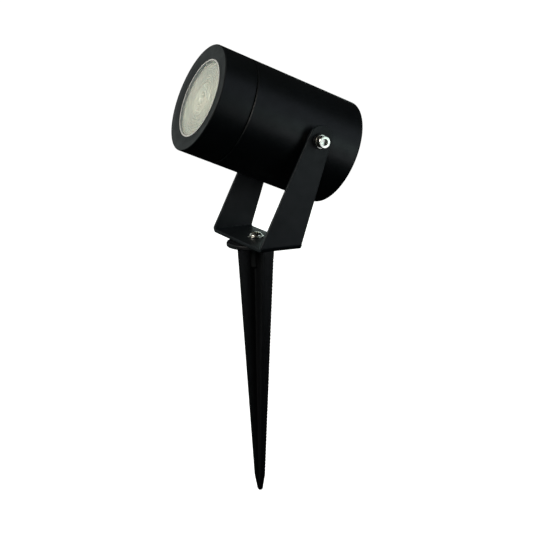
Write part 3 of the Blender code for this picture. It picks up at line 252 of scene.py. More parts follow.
class GlandSizes(bpy.types.PropertyGroup):
    """The cable gland's pieces."""

    corner: length("Corner radius", "Hexagons of the body and nuts, to their corners", 8.6)
    bore: length("Bore", "Way for the cable through the body", 3.6)
    mouth: length("Mouth", "Opening of the dome nut", 4.2)
    thread_pitch: length("Thread pitch", "M12 gland thread", 1.5)
    thread_depth: length("Thread depth", "M12 gland thread", 0.5)
    hex_height: length("Hexagon", "Height of the dome nut's hexagon", 5.0)
    chamfer: length("Chamfer", "How far a hexagon's chamfer cuts in from its corners", 0.9)
    chamfer_height: length("Chamfer height", "How far that chamfer runs along the axis", 0.5)
    thread_end: length("Thread end", "Plain stretch at the end of a thread", 0.4)


class SpotlightSettings(bpy.types.PropertyGroup):
    """All settings, by group."""

    studio: PointerProperty(type=StudioSettings)
    finish: PointerProperty(type=FinishSettings)
    head: PointerProperty(type=HeadSizes)
    yoke: PointerProperty(type=YokeSizes)
    spike: PointerProperty(type=SpikeSizes)
    fasteners: PointerProperty(type=FastenerSizes)
    lamp: PointerProperty(type=LampSizes)
    gland: PointerProperty(type=GlandSizes)


# The frame's own axes and sizes --------------------------------------------------------------------

def axes(origin, x, z):
    """A matrix with this origin, X and Z."""
    y = z.cross(x)
    made = Matrix((x, y, z)).transposed().to_4x4()
    made.translation = origin
    return made


def head_axes():
    """The head's axes at rest, from its joints."""
    beam = Vector(JOINTS["glass_travel"]["axis"]).normalized()
    across = -Vector(JOINTS["head_tilt"]["axis"]).normalized()
    return axes(Vector(JOINTS["head_tilt"]["pos_m"]), across, beam)


HEAD = head_axes()


def extent(node, place):
    """Lowest and highest corner of a CAD node in these axes."""
    inverse = place.inverted()
    spots = [inverse @ vertex.co for vertex in frame["nodes"][node].data.vertices]
    return Vector(map(min, zip(*spots))), Vector(map(max, zip(*spots)))


def reach(node, place):
    """Smallest and largest distance of a CAD node's corners from the Z of these axes."""
    inverse = place.inverted()
    radii = [(inverse @ vertex.co).xy.length for vertex in frame["nodes"][node].data.vertices]
    return min(radii), max(radii)


# Mesh work -----------------------------------------------------------------------------------------

def rounded(corners, closed=False, segments=4):
    """Points of an outline given by corners (x, y) or (x, y, fillet radius)."""
    count = len(corners)
    points = []
    for i, corner in enumerate(corners):
        here = Vector(corner[:2])
        radius = corner[2] if len(corner) > 2 else 0.0
        if radius <= 0.0 or (not closed and i in (0, count - 1)):
            points.append(tuple(here))
            continue
        back = Vector(corners[i - 1][:2]) - here
        ahead = Vector(corners[(i + 1) % count][:2]) - here
        half = back.angle(ahead) / 2.0
        along = min(radius / math.tan(half), 0.49 * back.length, 0.49 * ahead.length)
        radius = along * math.tan(half)
        middle = (back.normalized() + ahead.normalized()).normalized()
        centre = here + middle * radius / math.sin(half)
        start = here + back.normalized() * along - centre
        end = here + ahead.normalized() * along - centre
        turn = start.angle_signed(end)
        for k in range(segments + 1):
            spin = Matrix.Rotation(-turn * k / segments, 2)
            points.append(tuple(centre + spin @ start))
    return points


def between(first, last, count):
    """Evenly spaced points from first to last, both included."""
    return [tuple(Vector(first).lerp(Vector(last), i / count)) for i in range(count + 1)]


def band(solid, first, second):
    """Faces between two rings; a ring of one point is a tip."""
    count = max(len(first), len(second))
    for i in range(count):
        j = (i + 1) % count
        corners = [first[i % len(first)], first[j % len(first)], second[j % len(second)],
                   second[i % len(second)]]
        solid.faces.new(list(dict.fromkeys(corners)))


def turned(profile, steps=STEPS, radius_at=None):
    """A profile of (radius, height) turned about Z, from axis to axis; off the axis it closes as a ring.

    A profile that starts on the axis and ends off it makes an open surface.
    """
    solid = bmesh.new()
    rings = []
    for radius, height in profile:
        if radius < ON_AXIS:
            rings.append([solid.verts.new((0.0, 0.0, height))])
            continue
        ring = []
        for i in range(steps):
            angle = 2.0 * math.pi * i / steps
            here = radius_at(angle, radius, height) if radius_at else radius
            ring.append(solid.verts.new((here * math.cos(angle), here * math.sin(angle), height)))
        rings.append(ring)
    following = rings[1:] if profile[0][0] < ON_AXIS else rings[1:] + rings[:1]
    for first, second in zip(rings, following):
        band(solid, first, second)
    return solid


def lofted(sections):
    """Closed sections of equally many points joined in order, with both ends capped."""
    solid = bmesh.new()
    rings = [[solid.verts.new(point) for point in section] for section in sections]
    for first, second in zip(rings, rings[1:]):
        band(solid, first, second)
    solid.faces.new(rings[0])
    solid.faces.new(rings[-1])
    return solid


def rod(radius, low, high, steps=SMALL_STEPS, foot=0.0):
    """A round bar along Z, wider at its lower end by foot, as a cast fillet."""
    profile = [(0.0, high), (radius, high)]
    if foot:
        profile += [(radius + foot * (1.0 - math.cos(a)), low + foot * (1.0 - math.sin(a)))
                    for a in (math.radians(15.0 * k) for k in range(7))]
    else:
        profile.append((radius, low))
    profile.append((0.0, profile[-1][1]))
    return turned(profile, steps)


def ring(inner, outer, low, high, edge, inner_edge):
    """A flat ring with rounded edges."""
    return turned(rounded([(inner, high, inner_edge), (outer, high, edge), (outer, low, edge),
                           (inner, low, inner_edge)], closed=True))


def ridges(count, angle):
    """A smooth wave from 1 to 0 and back, this many times in a turn."""
    return 0.5 + 0.5 * math.cos(count * angle)


def moved(solid, place):
    """The same bmesh after a move."""
    bmesh.ops.transform(solid, matrix=place, verts=solid.verts)
    return solid


def loose(solid):
    """A bmesh as a new object, with its faces pointing out."""
    bmesh.ops.recalc_face_normals(solid, faces=solid.faces)
    mesh = bpy.data.meshes.new("work")
    solid.to_mesh(mesh)
    solid.free()
    made = bpy.data.objects.new("work", mesh)
    bpy.context.scene.collection.objects.link(made)
    return made


def carved(solid, *steps):
    """A bmesh after these Booleans, each an operation and its tool."""
    target = loose(solid)
    tools = []
    for operation, tool in steps:
        helper = loose(tool)
        tools.append(helper)
        change = target.modifiers.new("change", "BOOLEAN")
        change.operation = operation
        change.object = helper
        change.solver = "EXACT"
    bpy.context.view_layer.update()
    mesh = bpy.data.meshes.new_from_object(target.evaluated_get(bpy.context.evaluated_depsgraph_get()))
    result = bmesh.new()
    result.from_mesh(mesh)
    for used in [target] + tools:
        bpy.data.objects.remove(used, do_unlink=True)
    bpy.data.meshes.remove(mesh)
    return result


def piece(name, solid, look, body, replaced, place=None):
    """A finished piece of the object, smooth with crisp edges, which rides on its body."""
    made = loose(solid)
    made.name = name
    made.data.name = name
    made.data.materials.append(look)
    made.data.shade_smooth()
    made.data.set_sharp_from_angle(angle=SHARP)
    weighted = made.modifiers.new("even_shading", "WEIGHTED_NORMAL")
    weighted.keep_sharp = True
    if place is not None:
        made.matrix_world = place
    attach(made, body)
    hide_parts(*replaced)
    return made


def along_x(side):
    """Turns +Z to +X or -X of the same axes."""
    return Matrix.Rotation(side * math.pi / 2.0, 4, "Y")


def thread(base, pitch, depth, low, high, inward=True):
    """A radius rule: a helical V thread between two heights, run out at both ends."""
    def radius_at(angle, radius, height):
        if abs(radius - base) > ON_AXIS or not low <= height <= high:
            return radius
        turns = (height / pitch - angle / (2.0 * math.pi)) % 1.0
        vee = min(1.0, 1.25 * abs(2.0 * turns - 1.0))
        fade = min(1.0, (height - low) / pitch, (high - height) / pitch)
        cut = depth * (1.0 - vee) * max(fade, 0.0)
        return radius - cut if inward else radius + cut
    return radius_at


def thread_stretch(radius, high, low, pitch):
    """Profile points fine enough to carry a thread, from high to low."""
    return between((radius, high), (radius, low), max(2, round(8.0 * (high - low) / pitch)))


def threaded_shank(sizes, under, low, runout):
    """Profile from under a screw's head down to its end, and the radius rule of its thread."""
    top, foot = under - runout, low + runout + 0.1 * MM
    profile = thread_stretch(sizes.shank, top, foot, sizes.thread_pitch)
    profile += [(sizes.shank - sizes.shank_chamfer, low), (0.0, low)]
    return profile, thread(sizes.shank, sizes.thread_pitch, sizes.thread_depth, foot, top)


def hexagon_socket(corner, top, depth, drill):
    """A cutter for a hexagon socket, with the drill's cone at its foot."""
    floor = top - depth
    return turned([(0.0, top + OVERRUN), (corner, top + OVERRUN), (corner, floor), (0.0, floor - drill)],
                  steps=6)


def hexagonal(corner):
    """A radius rule: nothing stands outside this hexagon, corners at 0, 60, ... degrees."""
    sixth = math.pi / 3.0

    def radius_at(angle, radius, height):
        flat = corner * math.cos(sixth / 2.0) / math.cos(angle % sixth - sixth / 2.0)
        return min(radius, flat)
    return radius_at


# Finishes ------------------------------------------------------------------------------------------

def add_node(tree, kind, inputs=None, **settings):
    """A node with its settings, each input set to a value or linked from a socket."""
    made = tree.nodes.new(kind)
    for name, value in settings.items():
        setattr(made, name, value)
    for name, value in (inputs or {}).items():
        if isinstance(value, bpy.types.NodeSocket):
            tree.links.new(value, made.inputs[name])
        else:
            made.inputs[name].default_value = value
    return made


def finished(maker):
    """The material that this function makes, made once."""
    return bpy.data.materials.get(maker.__name__) or maker(bpy.context.scene.spotlight.finish)


def start(maker_name, **sockets):
    """A new material with its Principled shader set, and its object coordinates in metres."""
    made = bpy.data.materials.new(maker_name)
    made.use_nodes = True
    tree = made.node_tree
    shader = tree.nodes["Principled BSDF"]
    for name, value in sockets.items():
        shader.inputs[name.replace("_", " ")].default_value = value
    place = add_node(tree, "ShaderNodeTexCoord").outputs["Object"]
    return made, tree, shader, place


def vary(tree, place, width, low=0.0, high=1.0, detail=3.0, from_low=0.35, from_high=0.65):
    """Soft random patches of this width, between two values."""
    noise = add_node(tree, "ShaderNodeTexNoise", {"Vector": place, "Scale": 1.0 / width, "Detail": detail})
    return add_node(tree, "ShaderNodeMapRange", {"Value": noise.outputs["Fac"], "From Min": from_low,
                                                 "From Max": from_high, "To Min": low,
                                                 "To Max": high}).outputs[0]


def tint(tree, factor, first, second):
    """A mix of two colours by a factor socket."""
    return add_node(tree, "ShaderNodeMix", {0: factor, 6: first, 7: second}, data_type="RGBA").outputs[2]


def paint(tree, shader, factor, first, second):
    """A base colour that varies between two colours."""
    tree.links.new(tint(tree, factor, first, second), shader.inputs["Base Color"])


def relief(tree, shader, height, depth, strength=1.0, under=None):
    """A bump of this depth in metres on the shader."""
    inputs = {"Height": height, "Distance": depth, "Strength": strength}
    if under is not None:
        inputs["Normal"] = under
    bump = add_node(tree, "ShaderNodeBump", inputs)
    tree.links.new(bump.outputs["Normal"], shader.inputs["Normal"])
    return bump.outputs["Normal"]


def scaled(shade, factor):
    """A linear colour made lighter or darker."""
    return (*[min(1.0, value * factor) for value in shade[:3]], 1.0)


def coat(name, settings, shade, roughness):
    """Electrostatic powder coat, cured: satin, with orange peel that softly breaks up highlights."""
    # The real powder grain is under 0.1 mm; it is drawn coarser so that it shows.
    made, tree, shader, place = start(name, Specular_IOR_Level=0.3)
    patches = vary(tree, place, 14.0 * MM)
    paint(tree, shader, patches, scaled(shade, 0.88), scaled(shade, 1.15))
    satin = vary(tree, place, 6.0 * MM, roughness - 0.035, roughness + 0.035)
    tree.links.new(satin, shader.inputs["Roughness"])
    peel = add_node(tree, "ShaderNodeTexNoise", {"Vector": place, "Scale": 1.0 / settings.orange_peel,
                                                 "Detail": 1.0})
    under = relief(tree, shader, peel.outputs["Fac"], 0.03 * MM, 0.35)
    grain = add_node(tree, "ShaderNodeTexNoise", {"Vector": place, "Scale": 1.0 / settings.coat_grain,
                                                  "Detail": 1.0})
    relief(tree, shader, grain.outputs["Fac"], 0.01 * MM, 0.3, under)
    return made


def powder_coated_aluminium(settings):
    """The die-cast head: the deeper, smoother black of a thick coat."""
    return coat("powder_coated_aluminium", settings, settings.coat, settings.coat_roughness)


def powder_coated_steel(settings):
    """The sheet yoke: the same coat, a little lighter and duller."""
    return coat("powder_coated_steel", settings, settings.yoke_coat, settings.coat_roughness + 0.06)


def moulded(name, settings, shade, roughness, sockets=None):
    """Injection-moulded plastic: a spark-eroded texture and faint flow clouds."""
    # The real texture is about 0.1 mm; it is drawn coarser so that it shows.
    made, tree, shader, place = start(name, **(sockets or {}))
    clouds = vary(tree, place, 22.0 * MM, detail=2.0)
    paint(tree, shader, clouds, scaled(shade, 0.85), scaled(shade, 1.15))
    satin = vary(tree, place, 3.0 * MM, roughness - 0.04, roughness + 0.05)
    tree.links.new(satin, shader.inputs["Roughness"])
    grain = add_node(tree, "ShaderNodeTexVoronoi", {"Vector": place, "Scale": 1.0 / settings.moulded_grain},
                     feature="SMOOTH_F1")
    relief(tree, shader, grain.outputs["Distance"], 0.02 * MM, 0.4)
    return made


def moulded_black_nylon(settings):
    """Glass-filled nylon of the spike and gland: near black, matt on its grain."""
    return moulded("moulded_black_nylon", settings, settings.nylon, settings.nylon_roughness,
                   {"Specular_IOR_Level": 0.28})


def moulded_natural_nylon(settings):
    """Unpigmented nylon of the terminal block: milky, slightly see-through at thin edges."""
    return moulded("moulded_natural_nylon", settings, linear("#D8D2C2"), 0.45,
                   {"Subsurface_Weight": 0.15, "Subsurface_Scale": 1.0 * MM})


def moulded_white_polyester(settings):
    """PBT of the lamp's body: an even warm white with a soft gloss."""
    return moulded("moulded_white_polyester", settings, linear("#E2E2DC"), 0.38)


def pressed_rubber(settings):
    """EPDM seals: dull black with a dusty bloom."""
    made, tree, shader, place = start("pressed_rubber", Roughness=0.78, Specular_IOR_Level=0.3)
    bloom = vary(tree, place, 1.8 * MM)
    paint(tree, shader, bloom, linear("#0E0E0E"), linear("#1B1B1A"))
    relief(tree, shader, bloom, 0.02 * MM, 0.4)
    return made


def metal(name, shade, roughness, width, depth, rings=None):
    """A bare metal with fine marks: rings about an axis where it was turned, else a random grain."""
    made, tree, shader, place = start(name, Metallic=1.0)
    if rings is not None:
        cut = add_node(tree, "ShaderNodeTexWave", {"Vector": place, "Scale": 1.0 / width, "Distortion": 0.6,
                                                   "Detail": 1.0}, wave_type="RINGS", rings_direction=rings)
        marks = cut.outputs["Fac"]
    else:
        marks = vary(tree, place, width)
    stain = vary(tree, place, 2.5 * MM)
    paint(tree, shader, stain, scaled(shade, 0.9), shade)
    dull = add_node(tree, "ShaderNodeMapRange", {"Value": stain, "To Min": roughness + 0.05,
                                                 "To Max": roughness - 0.03})
    tree.links.new(dull.outputs[0], shader.inputs["Roughness"])
    relief(tree, shader, marks, depth, 0.5)
    return made


def turned_stainless_steel(settings):
    """A2 steel, turned and tumbled: bright, with faint rings left by the tool."""
    # Real tool marks are about 0.05 mm apart; they are drawn coarser so that they show.
    return metal("turned_stainless_steel", linear("#E4E2DA"), 0.2, 0.12 * MM, 0.004 * MM, "Z")


def zinc_plated_steel(settings):
    """Bright-passivated zinc: a cool grey with a fine crystalline grain."""
    return metal("zinc_plated_steel", linear("#B9BDC1"), 0.36, 0.5 * MM, 0.01 * MM)


def drawn_brass(settings):
    """Brass of the contacts, clamps and insert: warm yellow with light tarnish."""
    return metal("drawn_brass", linear("#D0AC62"), 0.3, 0.4 * MM, 0.008 * MM)


def fired_steatite(settings):
    """Unglazed ceramic: cream, matt, with fine dark specks."""
    made, tree, shader, place = start("fired_steatite", Roughness=0.62)
    specks = vary(tree, place, 0.35 * MM, detail=2.0, from_low=0.62, from_high=0.72)
    paint(tree, shader, specks, linear("#E6E0D2"), linear("#B9AF9C"))
    relief(tree, shader, specks, 0.02 * MM, 0.4)
    return made


def coated_board(settings):
    """LED board under white solder mask: semi-gloss white over faint copper tracks."""
    made, tree, shader, place = start("coated_board", Roughness=0.35)
    tracks = add_node(tree, "ShaderNodeTexBrick", {"Vector": place, "Scale": 1.0 / (6.0 * MM),
                                                   "Mortar Size": 0.04})
    paint(tree, shader, tracks.outputs["Fac"], linear("#ECEDE8"), linear("#CFD2CB"))
    relief(tree, shader, tracks.outputs["Fac"], 0.03 * MM, 0.5)
    return made


def silicone(name, text):
    """Extruded or moulded silicone: soft sheen and faint flow lines."""
    made, tree, shader, place = start(name, Roughness=0.55)
    lines = vary(tree, place, 0.6 * MM)
    paint(tree, shader, lines, scaled(linear(text), 0.85), linear(text))
    relief(tree, shader, lines, 0.01 * MM, 0.4)
    return made


def silicone_white(settings):
    """The gasket behind the glass: pale, so that it carries on the lamp's front when seen from the side."""
    return silicone("silicone_white", "#C6CCC2")


def silicone_brown(settings):
    """Live lead."""
    return silicone("silicone_brown", "#6B3F26")


def silicone_blue(settings):
    """Neutral lead."""
    return silicone("silicone_blue", "#2E5FA8")


def silicone_green(settings):
    """Earth lead, with a yellow stripe along each coil of the conductor."""
    made = silicone("silicone_green", "#3E8A3A")
    tree = made.node_tree
    shader = tree.nodes["Principled BSDF"]
    place = add_node(tree, "ShaderNodeTexCoord").outputs["Object"]
    stripe = add_node(tree, "ShaderNodeTexWave", {"Vector": place, "Scale": 1.0 / (9.0 * MM)})
    split = add_node(tree, "ShaderNodeMath", {0: stripe.outputs["Fac"], 1: 0.6}, operation="GREATER_THAN")
    paint(tree, shader, split.outputs[0], linear("#3E8A3A"), linear("#E0C531"))
    return made


def toughened_glass(settings):
    """Clear float glass: it mirrors at its faces, and lamps light what is behind it."""
    made, tree, shader, place = start("toughened_glass", Transmission_Weight=1.0, IOR=1.5, Roughness=0.0)
    shader.inputs["Base Color"].default_value = linear("#F6FAF8")
    ripple = add_node(tree, "ShaderNodeTexNoise", {"Vector": place, "Scale": 1.0 / (9.0 * MM),
                                                   "Detail": 0.0})
    relief(tree, shader, ripple.outputs["Fac"], 0.004 * MM, 0.3)
    lamps = add_node(tree, "ShaderNodeLightPath").outputs["Is Shadow Ray"]
    through = add_node(tree, "ShaderNodeBsdfTransparent", {"Color": linear("#F6FAF8")})
    output = tree.nodes["Material Output"]
    both = add_node(tree, "ShaderNodeMixShader", {0: lamps, 1: shader.outputs[0], 2: through.outputs[0]})
    tree.links.new(both.outputs[0], output.inputs["Surface"])
    return made


def moulded_acrylic(settings):
    """Frosted acrylic of the lamp's optic over a white cup: pale grey, glossy on its moulded rings, with a
    painted highlight on its middle.
    """
    made, tree, shader, place = start("moulded_acrylic", Roughness=0.24, Coat_Weight=0.6,
                                      Coat_Roughness=0.08, Subsurface_Weight=0.1, Subsurface_Scale=1.0 * MM)
    facets = add_node(tree, "ShaderNodeTexVoronoi", {"Vector": place, "Scale": 1.0 / (1.5 * MM)})
    edges = add_node(tree, "ShaderNodeMapRange", {"Value": facets.outputs["Distance"], "From Min": 0.1,
                                                  "From Max": 0.7})
    flat = add_node(tree, "ShaderNodeVectorMath", {0: place, 1: (1.0, 1.0, 0.0)}, operation="MULTIPLY")
    out = add_node(tree, "ShaderNodeVectorMath", {0: flat.outputs[0]}, operation="LENGTH")
    # Painted highlight: within 8.5 mm of the axis the optic is painted lighter, fading to a darker tone by
    # 13 mm; the facet edges stay darker than the faces.
    middle = add_node(tree, "ShaderNodeMapRange", {"Value": out.outputs["Value"], "From Min": 8.5 * MM,
                                                   "From Max": 13.0 * MM})
    face_with_painted_highlight = tint(tree, middle.outputs[0], scaled(settings.optic, 1.14), scaled(settings.optic, 0.88))
    dark = tint(tree, middle.outputs[0], scaled(settings.optic, 0.9), scaled(settings.optic, 0.70))
    paint(tree, shader, edges.outputs[0], face_with_painted_highlight, dark)
    relief(tree, shader, facets.outputs["Distance"], 0.05 * MM, 0.5)
    return made


def phosphor(settings):
    """LED packages: yellow phosphor gel under clear silicone."""
    made, tree, shader, place = start("phosphor", Roughness=0.3, Coat_Weight=0.5)
    grain = vary(tree, place, 0.4 * MM)
    paint(tree, shader, grain, linear("#D9C34A"), linear("#E8DA86"))
    return made


# Pieces --------------------------------------------------------------------------------------------

class SPOTLIGHT_OT_stage(bpy.types.Operator):
    """Camera, seamless pale floor and soft lights"""

    bl_idname = "spotlight.stage"
    bl_label = "Stage"

    def execute(self, context):
        """Camera first, then floor, lights and world."""
        settings = context.scene.spotlight
        self.camera(settings.studio)
        self.floor(settings.studio)
        self.lights()
        self.world(settings.studio)
        return {"FINISHED"}

    def camera(self, studio):
        """Looks at the object from its left front, a little from above."""
        around, above = studio.azimuth, studio.elevation
        back = Vector((math.sin(around) * math.cos(above), -math.cos(around) * math.cos(above),
                       math.sin(above)))
        right = Vector((math.cos(around), math.sin(around), 0.0))
        aim = right * studio.aim_side + Vector((0.0, 0.0, studio.aim_height))
        made = bpy.data.objects.new("camera", bpy.data.cameras.new("camera"))
        made.data.lens = studio.lens
        made.data.sensor_width = 36.0
        made.data.clip_start = 0.01
        level = axes(aim + back * studio.distance, right, back)
        made.matrix_world = level @ Matrix.Rotation(studio.roll, 4, "Z")
        bpy.context.scene.collection.objects.link(made)
        bpy.context.scene.camera = made
        bpy.context.scene.view_settings.view_transform = "Standard"

    def floor(self, studio):
        """A round floor that turns up into a wall all round, under the spike's tip."""
        low, radius = CAD_BOX[0].z, studio.floor_radius
        made = loose(turned(rounded([(0.0, low), (radius, low, studio.cove), (radius, low + radius)],
                                    segments=24)))
        made.name = "seamless_floor"
        made.data.shade_smooth()
        made.data.materials.append(self.paper(studio))
        for ray in ("glossy", "diffuse", "transmission", "shadow"):     # it is a backdrop, not a lamp
            setattr(made, "visible_" + ray, False)

    def paper(self, studio):
        """Matt backdrop paper, lit evenly from behind so that it stays white at every angle."""
        made, tree, shader, place = start("backdrop_paper", Roughness=0.9, Specular_IOR_Level=0.1)
        fibres = vary(tree, place, 40.0 * MM)
        paint(tree, shader, fibres, scaled(studio.floor, 0.99), studio.floor)
        shader.inputs["Emission Color"].default_value = studio.floor
        shader.inputs["Emission Strength"].default_value = studio.glow
        return made

    def lights(self):
        """Soft boxes: name, way from the head, distance, width and height, watts, colour.

        The side band draws the tube's long satin streak, the key lights the optic, and the fill, rim and
        low ones each lift one face of the black coat off its neighbour.
        """
        centre = HEAD.translation
        boxes = (
            ("side_band", (0.72, 0.62, 0.32), 0.85, (0.55, 0.75), 0.85, "#E4EEFF"),
            ("front_key", (0.16, -0.86, 0.50), 1.0, (0.55, 0.55), 6.3, "#FFFBF4"),
            ("face_fill", (-0.82, -0.54, 0.22), 1.1, (0.75, 0.6), 0.80, "#F4FFFC"),
            ("rim", (-0.86, 0.50, 0.03), 1.1, (0.7, 0.25), 0.9, "#EAFFF8"),
            ("top", (0.10, 0.15, 1.0), 1.1, (0.7, 0.7), 0.7, "#F0FFFA"),
            ("rear_fill", (0.45, 1.0, 0.25), 1.3, (0.6, 0.6), 0.4, "#E8FFF4"),
            ("rear_patch", (0.86, 0.51, 0.03), 0.34, (0.13, 0.10), 0.05, "#DDFFF0"),
            ("low_side", (0.89, 0.39, -0.22), 0.38, (0.15, 0.10), 0.075, "#F4F8FF"),
            ("low_front", (-0.58, -0.78, -0.20), 1.0, (0.35, 0.30), 0.22, "#E6FFFA"),
            ("low_right", (0.50, -0.84, -0.20), 1.0, (0.30, 0.25), 0.22, "#E6FFFA"),
        )
        for name, direction, distance, size, power, shade in boxes:
            away = Vector(direction).normalized()
            light = bpy.data.lights.new(name, "AREA")
            light.shape = "RECTANGLE"
            light.size, light.size_y = size
            light.energy = power
            light.color = linear(shade)[:3]
            made = bpy.data.objects.new(name, light)
            made.matrix_world = Matrix.LocRotScale(centre + away * distance, away.to_track_quat("Z", "Y"),
                                                   None)
            made.visible_camera = False
            bpy.context.scene.collection.objects.link(made)

    def world(self, studio):
        """A dim room, darker below than above."""
        world = bpy.data.worlds.new("studio")
        world.use_nodes = True
        tree = world.node_tree
        way = add_node(tree, "ShaderNodeTexCoord").outputs["Generated"]
        height = add_node(tree, "ShaderNodeSeparateXYZ", {0: way})
        up = add_node(tree, "ShaderNodeMapRange", {"Value": height.outputs["Z"], "From Min": -0.5,
                                                   "From Max": 0.6, "To Min": 0.12, "To Max": 1.0})
        shade = tint(tree, up.outputs[0], (0.0, 0.0, 0.0, 1.0), linear("#F2F5F4"))
        sky = tree.nodes["Background"]
        tree.links.new(shade, sky.inputs["Color"])
        sky.inputs["Strength"].default_value = studio.ambient
        bpy.context.scene.world = world


class SPOTLIGHT_OT_spike(bpy.types.Operator):
    """Ground spike: flange, seat, screw boss and four toothed blades, moulded in one"""

    bl_idname = "spotlight.spike"
    bl_label = "Ground spike"

    def execute(self, context):
        """Blades as a loft, joined to the turned flange and boss, then bored for the insert."""
        sizes = context.scene.spotlight.spike
        low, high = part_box("ground_spike")
        insert_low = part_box("threaded_insert")[0].z
        insert_radius = reach("threaded_insert", Matrix())[1]
        blades = self.blades(sizes, low.z)
        head = rounded([(0.0, high.z), (high.x, high.z, sizes.flange_edge),
                        (high.x, high.z - sizes.flange, sizes.flange_edge),
                        (sizes.boss_radius, 0.0, 0.5 * MM),
                        (sizes.boss_radius - 0.4 * MM, -sizes.boss_depth, 0.5 * MM),
                        (0.0, -sizes.boss_depth)])
        hole = rod(insert_radius + 0.2 * MM, insert_low - OVERRUN, high.z + OVERRUN)
        solid = carved(turned(head), ("UNION", blades), ("DIFFERENCE", hole))
        piece("spike", solid, finished(moulded_black_nylon), "spike", ["ground_spike"])
        return {"FINISHED"}

    def blades(self, sizes, tip_z):
        """Four blades that taper to the point, with fine teeth down the rear one."""
        above_point = tip_z + sizes.point
        heights = [sizes.flange / 2.0]
        step = sizes.tooth_pitch / 6.0
        heights += [-step * i for i in range(int(-above_point / step) + 1)]
        sections = [self.section(sizes, z, above_point, tip_z) for z in heights]
        for i in range(1, 25):
            angle = math.pi / 2.0 * i / 24.0
            z = above_point - (above_point - tip_z) * math.sin(angle)
            sections.append(self.section(sizes, max(z, tip_z + 0.004 * MM), above_point, tip_z))
        return lofted(sections)

    def outer(self, sizes, z, above_point, tip_z):
        """A blade's reach at this height: straight taper, then the point's slope into the round tip."""
        if z >= above_point:
            rise = min(1.0, (z - above_point) / -above_point)
            return sizes.reach_low + (sizes.reach_top - sizes.reach_low) * rise
        centre = tip_z + sizes.tip
        slope = math.atan2(sizes.reach_low - sizes.tip, above_point - centre)
        touch = centre - sizes.tip * math.sin(slope)
        if z > touch:
            wide = sizes.tip * math.cos(slope)
            return wide + (sizes.reach_low - wide) * (z - touch) / (above_point - touch)
        return math.sqrt(max(sizes.tip ** 2 - (z - centre) ** 2, 0.0))

    def section(self, sizes, z, above_point, tip_z):
        """The cross of blades at this height, corners rounded and roots filleted."""
        wide = self.outer(sizes, z, above_point, tip_z)
        # Near the tip the blades thin and the fillets shrink with their reach, so that no two meet.
        half = min(sizes.blade / 2.0, 0.72 * wide)
        edge = min(sizes.blade_edge, 0.3 * half)
        root = min(sizes.root, 0.45 * (wide - half))
        tooth = 0.0
        if above_point < z < -sizes.teeth_from:
            tooth = sizes.tooth_depth * abs(2.0 * ((-z / sizes.tooth_pitch) % 1.0) - 1.0)
        reaches = [wide, wide - tooth, wide, wide, wide]
        points = []
        for quarter in range(4):
            spin = Matrix.Rotation(math.pi / 2.0 * quarter, 2)
            here, following = reaches[quarter], reaches[quarter + 1]
            arcs = (((here - edge, half - edge), edge, 0.0, 90.0),
                    ((half + root, half + root), root, 270.0, 180.0),
                    ((half - edge, following - edge), edge, 0.0, 90.0))
            for (x, y), radius, begin, end in arcs:
                for k in range(4):
                    angle = math.radians(begin + (end - begin) * k / 3.0)
                    spot = spin @ Vector((x + radius * math.cos(angle), y + radius * math.sin(angle)))
                    points.append((spot.x, spot.y, z))
        return points


class SPOTLIGHT_OT_base_fasteners(bpy.types.Operator):
    """Base screw, its washer and the spike's brass insert"""

    bl_idname = "spotlight.base_fasteners"
    bl_label = "Base fasteners"

    def execute(self, context):
        """Button head with a hexagon socket, washer and knurled insert."""
        sizes = context.scene.spotlight.fasteners
        steel = finished(turned_stainless_steel)
        low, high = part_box("base_screw")
        head_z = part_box("base_washer")[1].z + 0.2 * MM
        profile = rounded([(0.0, high.z), (2.7 * MM, high.z, 0.6 * MM),
                           (high.x, head_z + 0.5 * MM, 0.9 * MM), (high.x, head_z, 0.12 * MM),
                           (sizes.shank, head_z)])
        shank, helix = threaded_shank(sizes, head_z, low.z, 0.4 * MM)
        socket = hexagon_socket(sizes.base_socket, high.z, 1.2 * MM, 0.4 * MM)
        solid = carved(turned(profile + shank, SMALL_STEPS, helix), ("DIFFERENCE", socket))
        piece("base_screw_turned", solid, steel, "spike", ["base_screw"])

        low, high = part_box("base_washer")
        solid = ring(sizes.hole, high.x, low.z, high.z, 0.15 * MM, 0.1 * MM)
        piece("base_washer_pressed", solid, steel, "spike", ["base_washer"])

        low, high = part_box("threaded_insert")
        inner, outer = reach("threaded_insert", Matrix())
        middle = (low.z + high.z) / 2.0
        profile = [(inner, high.z), (outer - CHAMFER, high.z), (outer, high.z - CHAMFER)]
        profile += between((outer, high.z - 0.6 * MM), (outer, middle + 0.6 * MM), 3)
        profile += [(outer - 0.5 * MM, middle + 0.4 * MM), (outer - 0.5 * MM, middle - 0.4 * MM)]
        profile += between((outer, middle - 0.6 * MM), (outer, low.z + 0.6 * MM), 3)
        profile += [(outer - CHAMFER, low.z), (inner, low.z)]

        def knurl(angle, radius, height):
            """Ridges on the two bands."""
            return radius if radius < outer - ON_AXIS else radius - 0.15 * MM * ridges(24.0, angle)
        piece("insert_knurled", turned(profile, STEPS, knurl), finished(drawn_brass), "spike",
              ["threaded_insert"])
        return {"FINISHED"}


